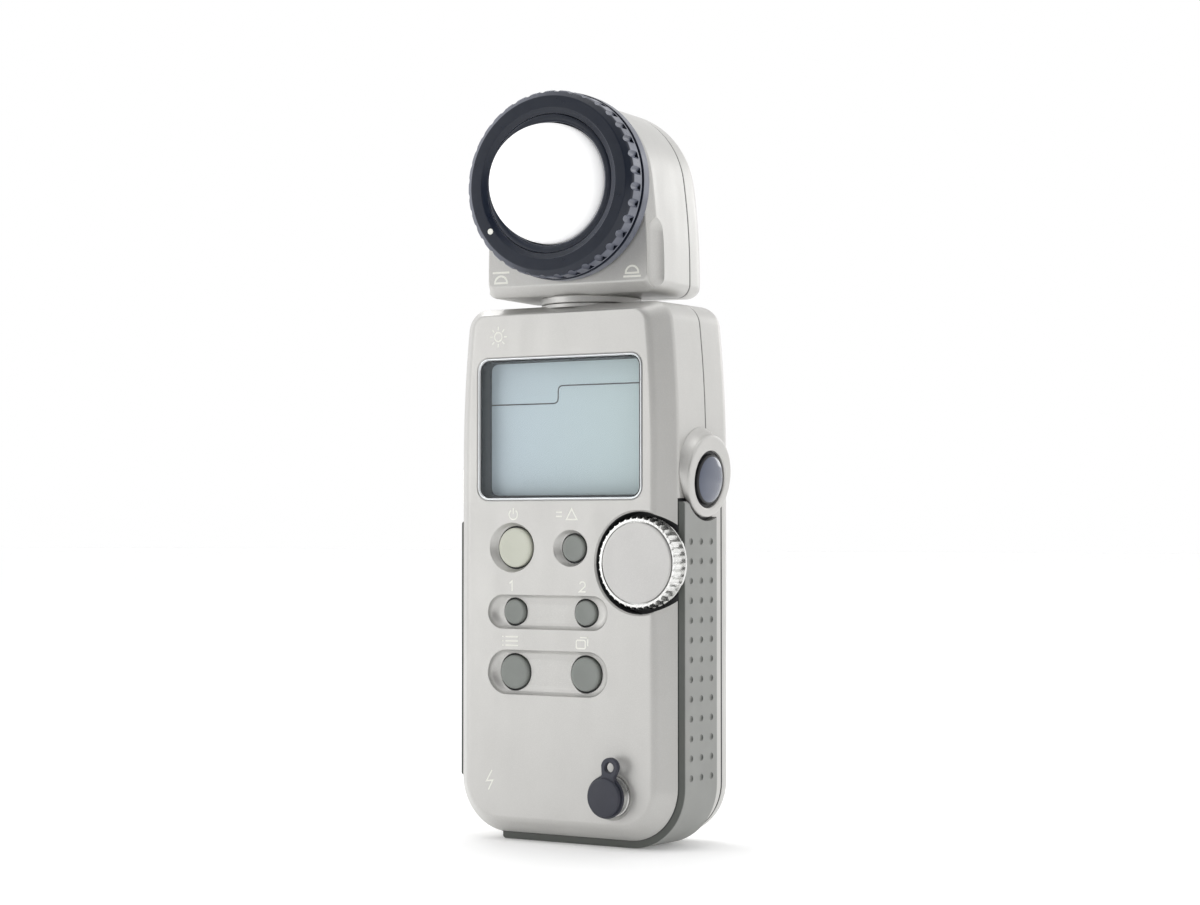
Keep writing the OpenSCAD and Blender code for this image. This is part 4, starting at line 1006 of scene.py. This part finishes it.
def head_front():
    rings = bevelled_front(head_outline(1.55, 0.7), head_outline(0), HEAD_FACE_Y, HEAD_FACE_Y + 2, 0.12, 0.14)
    rings += [at(head_outline(0), HEAD_PART_Y - SEAM_SOFT), at(head_outline(SEAM_EDGE), HEAD_PART_Y),
              at(head_outline(2.7), HEAD_PART_Y), at(head_outline(2.7), HEAD_FACE_Y + 1.5)]
    shell = loft("head_front_skin", rings, HEAD)
    wide, bore = BARREL_R + 0.3, BARREL_R + 0.02
    opening = [(wide, -20), (wide, HEAD_FACE_Y - 0.01), (bore, HEAD_FACE_Y + 0.28), (bore, 0)]
    cutters = [rod(RING_CENTRE, opening, matrix=HEAD),
               cylinder(ORIGIN, 5.02, HEAD_LOW_Z - 1, HEAD_LOW_Z + 4, axis="Z")]
    groove_r, low, top = 3.8, 117.7, 126.2
    capsule = [(0, low - groove_r)] + arc(0, low, groove_r, -80, 0, 10)
    capsule += arc(0, top, groove_r, 0, 80, 10) + [(0, top + groove_r)]
    cutters += [rod((x, -9.6, 0), capsule, axis="Z", matrix=HEAD) for x in (-22, 22)]
    place(combine(shell, cutters), "head", "champagne_shell", ["head_front"], angle=24)


def head_rear():
    start, wall = HEAD_PART_Y + SEAM, 1.7
    rings = [at(head_outline(SEAM_EDGE), start), at(head_outline(0), start + SEAM_SOFT)]
    shell = loft("head_rear_skin", rings + back_edge(sloping_outline, HEAD_EDGE_R, HEAD_END_Y, 12), HEAD)
    cavity = [at(head_outline(wall), start - 1), at(head_outline(wall), HEAD_END_Y - HEAD_EDGE_R),
              at(sloping_outline(HEAD_EDGE_R), HEAD_END_Y - wall)]
    cutters = [loft("cavity", cavity, HEAD)]
    cutters += [cylinder((x, 0, z), 2.0, HEAD_END_Y - 1.3, HEAD_END_Y + 2, steps=48, matrix=HEAD)
                for x, z in screw_places("head_screws", HEAD_BACK)]
    place(combine(shell, cutters), "head", "champagne_shell", ["head_rear"], angle=24)


def ring():
    front, back = RING[0].y, RING[1].y
    face_r, slope_r, lug_r, bore = 18.0, 15.6, RING_R - 0.2, BARREL_R + 0.1
    profile = [(bore, 0.6), (bore + 0.1, 0.52)]
    profile += bend((slope_r - 0.1, 0.12), (slope_r, 0), (slope_r + 0.15, 0), 2)
    profile += bend((face_r - 0.15, 0), (face_r, 0), (face_r + 0.1, 0.1), 3)
    profile += bend((lug_r - 0.35, 0.75), (lug_r, 1.05), (lug_r, 1.4), 4)
    profile += [(lug_r, 4.8), (lug_r - 0.1, 4.95), (RING_R - 1.1, 5.0), (RING_R - 1.1, 5.32), (RING_R - 0.1, 5.4),
                (RING_R, 5.5)]
    profile = [(bore, back)] + lift(front, profile) + [(RING_R, back - 0.35), (RING_R - 0.4, back)]
    wheel = turned("knurled_ring", RING_CENTRE, profile, steps=180, matrix=HEAD)
    scoop = lift(front, [(0.96, -0.5), (0.98, 3.9), (0.85, 4.25)])
    pit = lift(front, [(0.2, 3.7), (0.36, 4.4)])
    lugs, cuts = 36, []
    for i in range(lugs):
        a = 2 * pi * (i + 0.5) / lugs
        for shape, out, steps in ((scoop, lug_r + 0.5, 24), (pit, lug_r - 0.38, 16)):
            cuts.append(rod((out * cos(a), 0, RING_Z + out * sin(a)), shape, steps=steps, matrix=HEAD))
    dot = middle("index_dot", HEAD_BACK)
    r = span("index_dot", HEAD_BACK)[1].z - dot.z
    cutters = [join("scoops", cuts[0::2]), join("pits", cuts[1::2]),
               cylinder(dot, r + 0.02, front - 1, front + 0.5, steps=40, matrix=HEAD)]
    place(combine(wheel, cutters), "ring", "ring_black", ["dome_ring"], angle=26)
    paint = [(0, -0.03)] + bend((r * 0.6, -0.03), (r, -0.02), (r, 0.08), 3) + [(r, 0.45), (0, 0.45)]
    index = turned("ring_index", dot, lift(front, paint), steps=40, hoop=False, matrix=HEAD)
    place(index, "ring", "index_white", ["index_dot"])


def barrel():
    front, back = span("ring_barrel", HEAD_BACK)[0].y, -4
    inner, wide, outer = 12.75, 13.4, BARREL_R - 0.02
    profile = [(inner, 0.75), (inner + 0.05, 0.35)] + bend((12.95, 0.22), (13.1, 0.05), (13.5, 0.02), 3)
    profile = lift(front, profile + bend((14.0, 0), (BARREL_R - 0.05, 0), (outer, 0.25), 3))
    profile += [(outer, HEAD_FACE_Y + 1.5), (outer, back), (wide, back), (wide, front + 1.0), (inner, front + 1.0)]
    place(turned("dome_barrel", RING_CENTRE, profile, steps=144, matrix=HEAD), "head", "ring_black",
          ["ring_barrel"], angle=26)


def dome():
    low, high = span("dome", HEAD_BACK)
    radius = high.x
    inner, base = radius - 0.9, low.y + radius + 0.001
    profile = [(radius, high.y), (radius, base)] + arc(0, base, radius, -3, -87, 28) + [(0, base - radius)]
    profile += [(0, base - inner)] + arc(0, base, inner, -87, -3, 14) + [(inner, high.y)]
    place(turned("white_dome", RING_CENTRE, profile, steps=128, matrix=HEAD), "dome", "diffuser_white", ["dome"],
          angle=40)


# ---- stage


def aimed(name, data, location, look):
    """An object in the scene that looks along a direction."""
    item = linked(name, data)
    item.location = location
    item.rotation_mode = "QUATERNION"
    item.rotation_quaternion = look.to_track_quat("-Z", "Y")
    return item


def camera():
    """Camera to the right of the front, a little below the middle, pitched up slightly."""
    azimuth, distance, aside, height, pitch = radians(33.06), 533.2, -1.78, 65.3, radians(1.73)
    ahead = Vector((-sin(azimuth), cos(azimuth), 0))
    right = Vector((cos(azimuth), sin(azimuth), 0))
    data = bpy.data.cameras.new("camera")
    data.lens, data.sensor_width = 75.65, 36
    data.clip_start, data.clip_end = 0.01, 50
    location = (-ahead * distance - right * aside + Vector((0, 0, height))) * MM
    bpy.context.scene.camera = aimed("camera", data, location, ahead * cos(pitch) + Vector((0, 0, sin(pitch))))


def softbox(name, location, size, power):
    """Square light aimed at the middle of the object."""
    data = bpy.data.lights.new(name, "AREA")
    data.shape, data.size, data.energy = "SQUARE", size, power
    aimed(name, data, location, Vector((0, 0, 0.07)) - Vector(location)).visible_camera = False


def white_studio():
    """White surroundings with a dark patch round the camera, which shades the faces that mirror it."""
    world = bpy.data.worlds.new("studio")
    world.use_nodes = True
    tree = world.node_tree
    direction = tree.nodes.new("ShaderNodeTexCoord")
    dot = tree.nodes.new("ShaderNodeVectorMath")
    dot.operation = "DOT_PRODUCT"
    dot.inputs[1].default_value = Vector((0.38, -0.92, 0.1)).normalized()
    patch = tree.nodes.new("ShaderNodeMapRange")
    patch.interpolation_type = "SMOOTHSTEP"
    for key, number in (("From Min", 0.5), ("From Max", 0.9), ("To Min", 1.0), ("To Max", 0.08)):
        patch.inputs[key].default_value = number
    background = tree.nodes["Background"]
    background.inputs["Color"].default_value = WHITE
    tree.links.new(direction.outputs["Generated"], dot.inputs[0])
    tree.links.new(dot.outputs["Value"], patch.inputs["Value"])
    tree.links.new(patch.outputs[0], background.inputs["Strength"])
    return world


def stage():
    scene = bpy.context.scene
    scene.view_settings.view_transform = "Standard"
    scene.world = white_studio()
    half, floor_z = 6 / MM, CAD_BOX[0].z / MM - 0.02
    floor = add_mesh("floor", [(-half, -half, floor_z), (half, -half, floor_z), (half, half, floor_z),
                               (-half, half, floor_z)], [(0, 1, 2, 3)])
    floor.data.materials.append(surface("floor_white", (0.93, 0.93, 0.93, 1), 0.7, mottle=0.002, grain_depth=0,
                                        Emission_Color=WHITE, Emission_Strength=0.16))
    softbox("key_left", (-0.75, -0.75, 0.3), 0.6, 1.45)
    softbox("rim_right", (0.2, 1.05, 0.35), 0.4, 0.8)
    softbox("top", (0, 0, 1.1), 0.4, 1.4)
    softbox("top_back", (-0.6, 0.45, 0.85), 0.4, 1.6)
    camera()


def carried_over_nodes():
    """Gives every CAD node the material of its slot."""
    for name, node in frame["nodes"].items():
        if not node.material_slots:
            node.data.materials.append(None)
        for slot in node.material_slots:
            slot.material = MATERIALS[SLOTS[name]]


carried_over_nodes()
front_shell()
rear_shell()
seam_shade_strips()
screws("rear_screw_heads", "shell_screws", "body", BACK_Y)
grips()
display()
body_markings()
keys()
jog()
boss()
sync()
strap_lug()
neck()
tripod_thread()
battery_door()
latch()
head_front()
head_rear()
screws("head_screw_heads", "head_screws", "head", HEAD_REAR[1].y, HEAD, HEAD_BACK)
ring()
barrel()
dome()
head_markings()
stage()
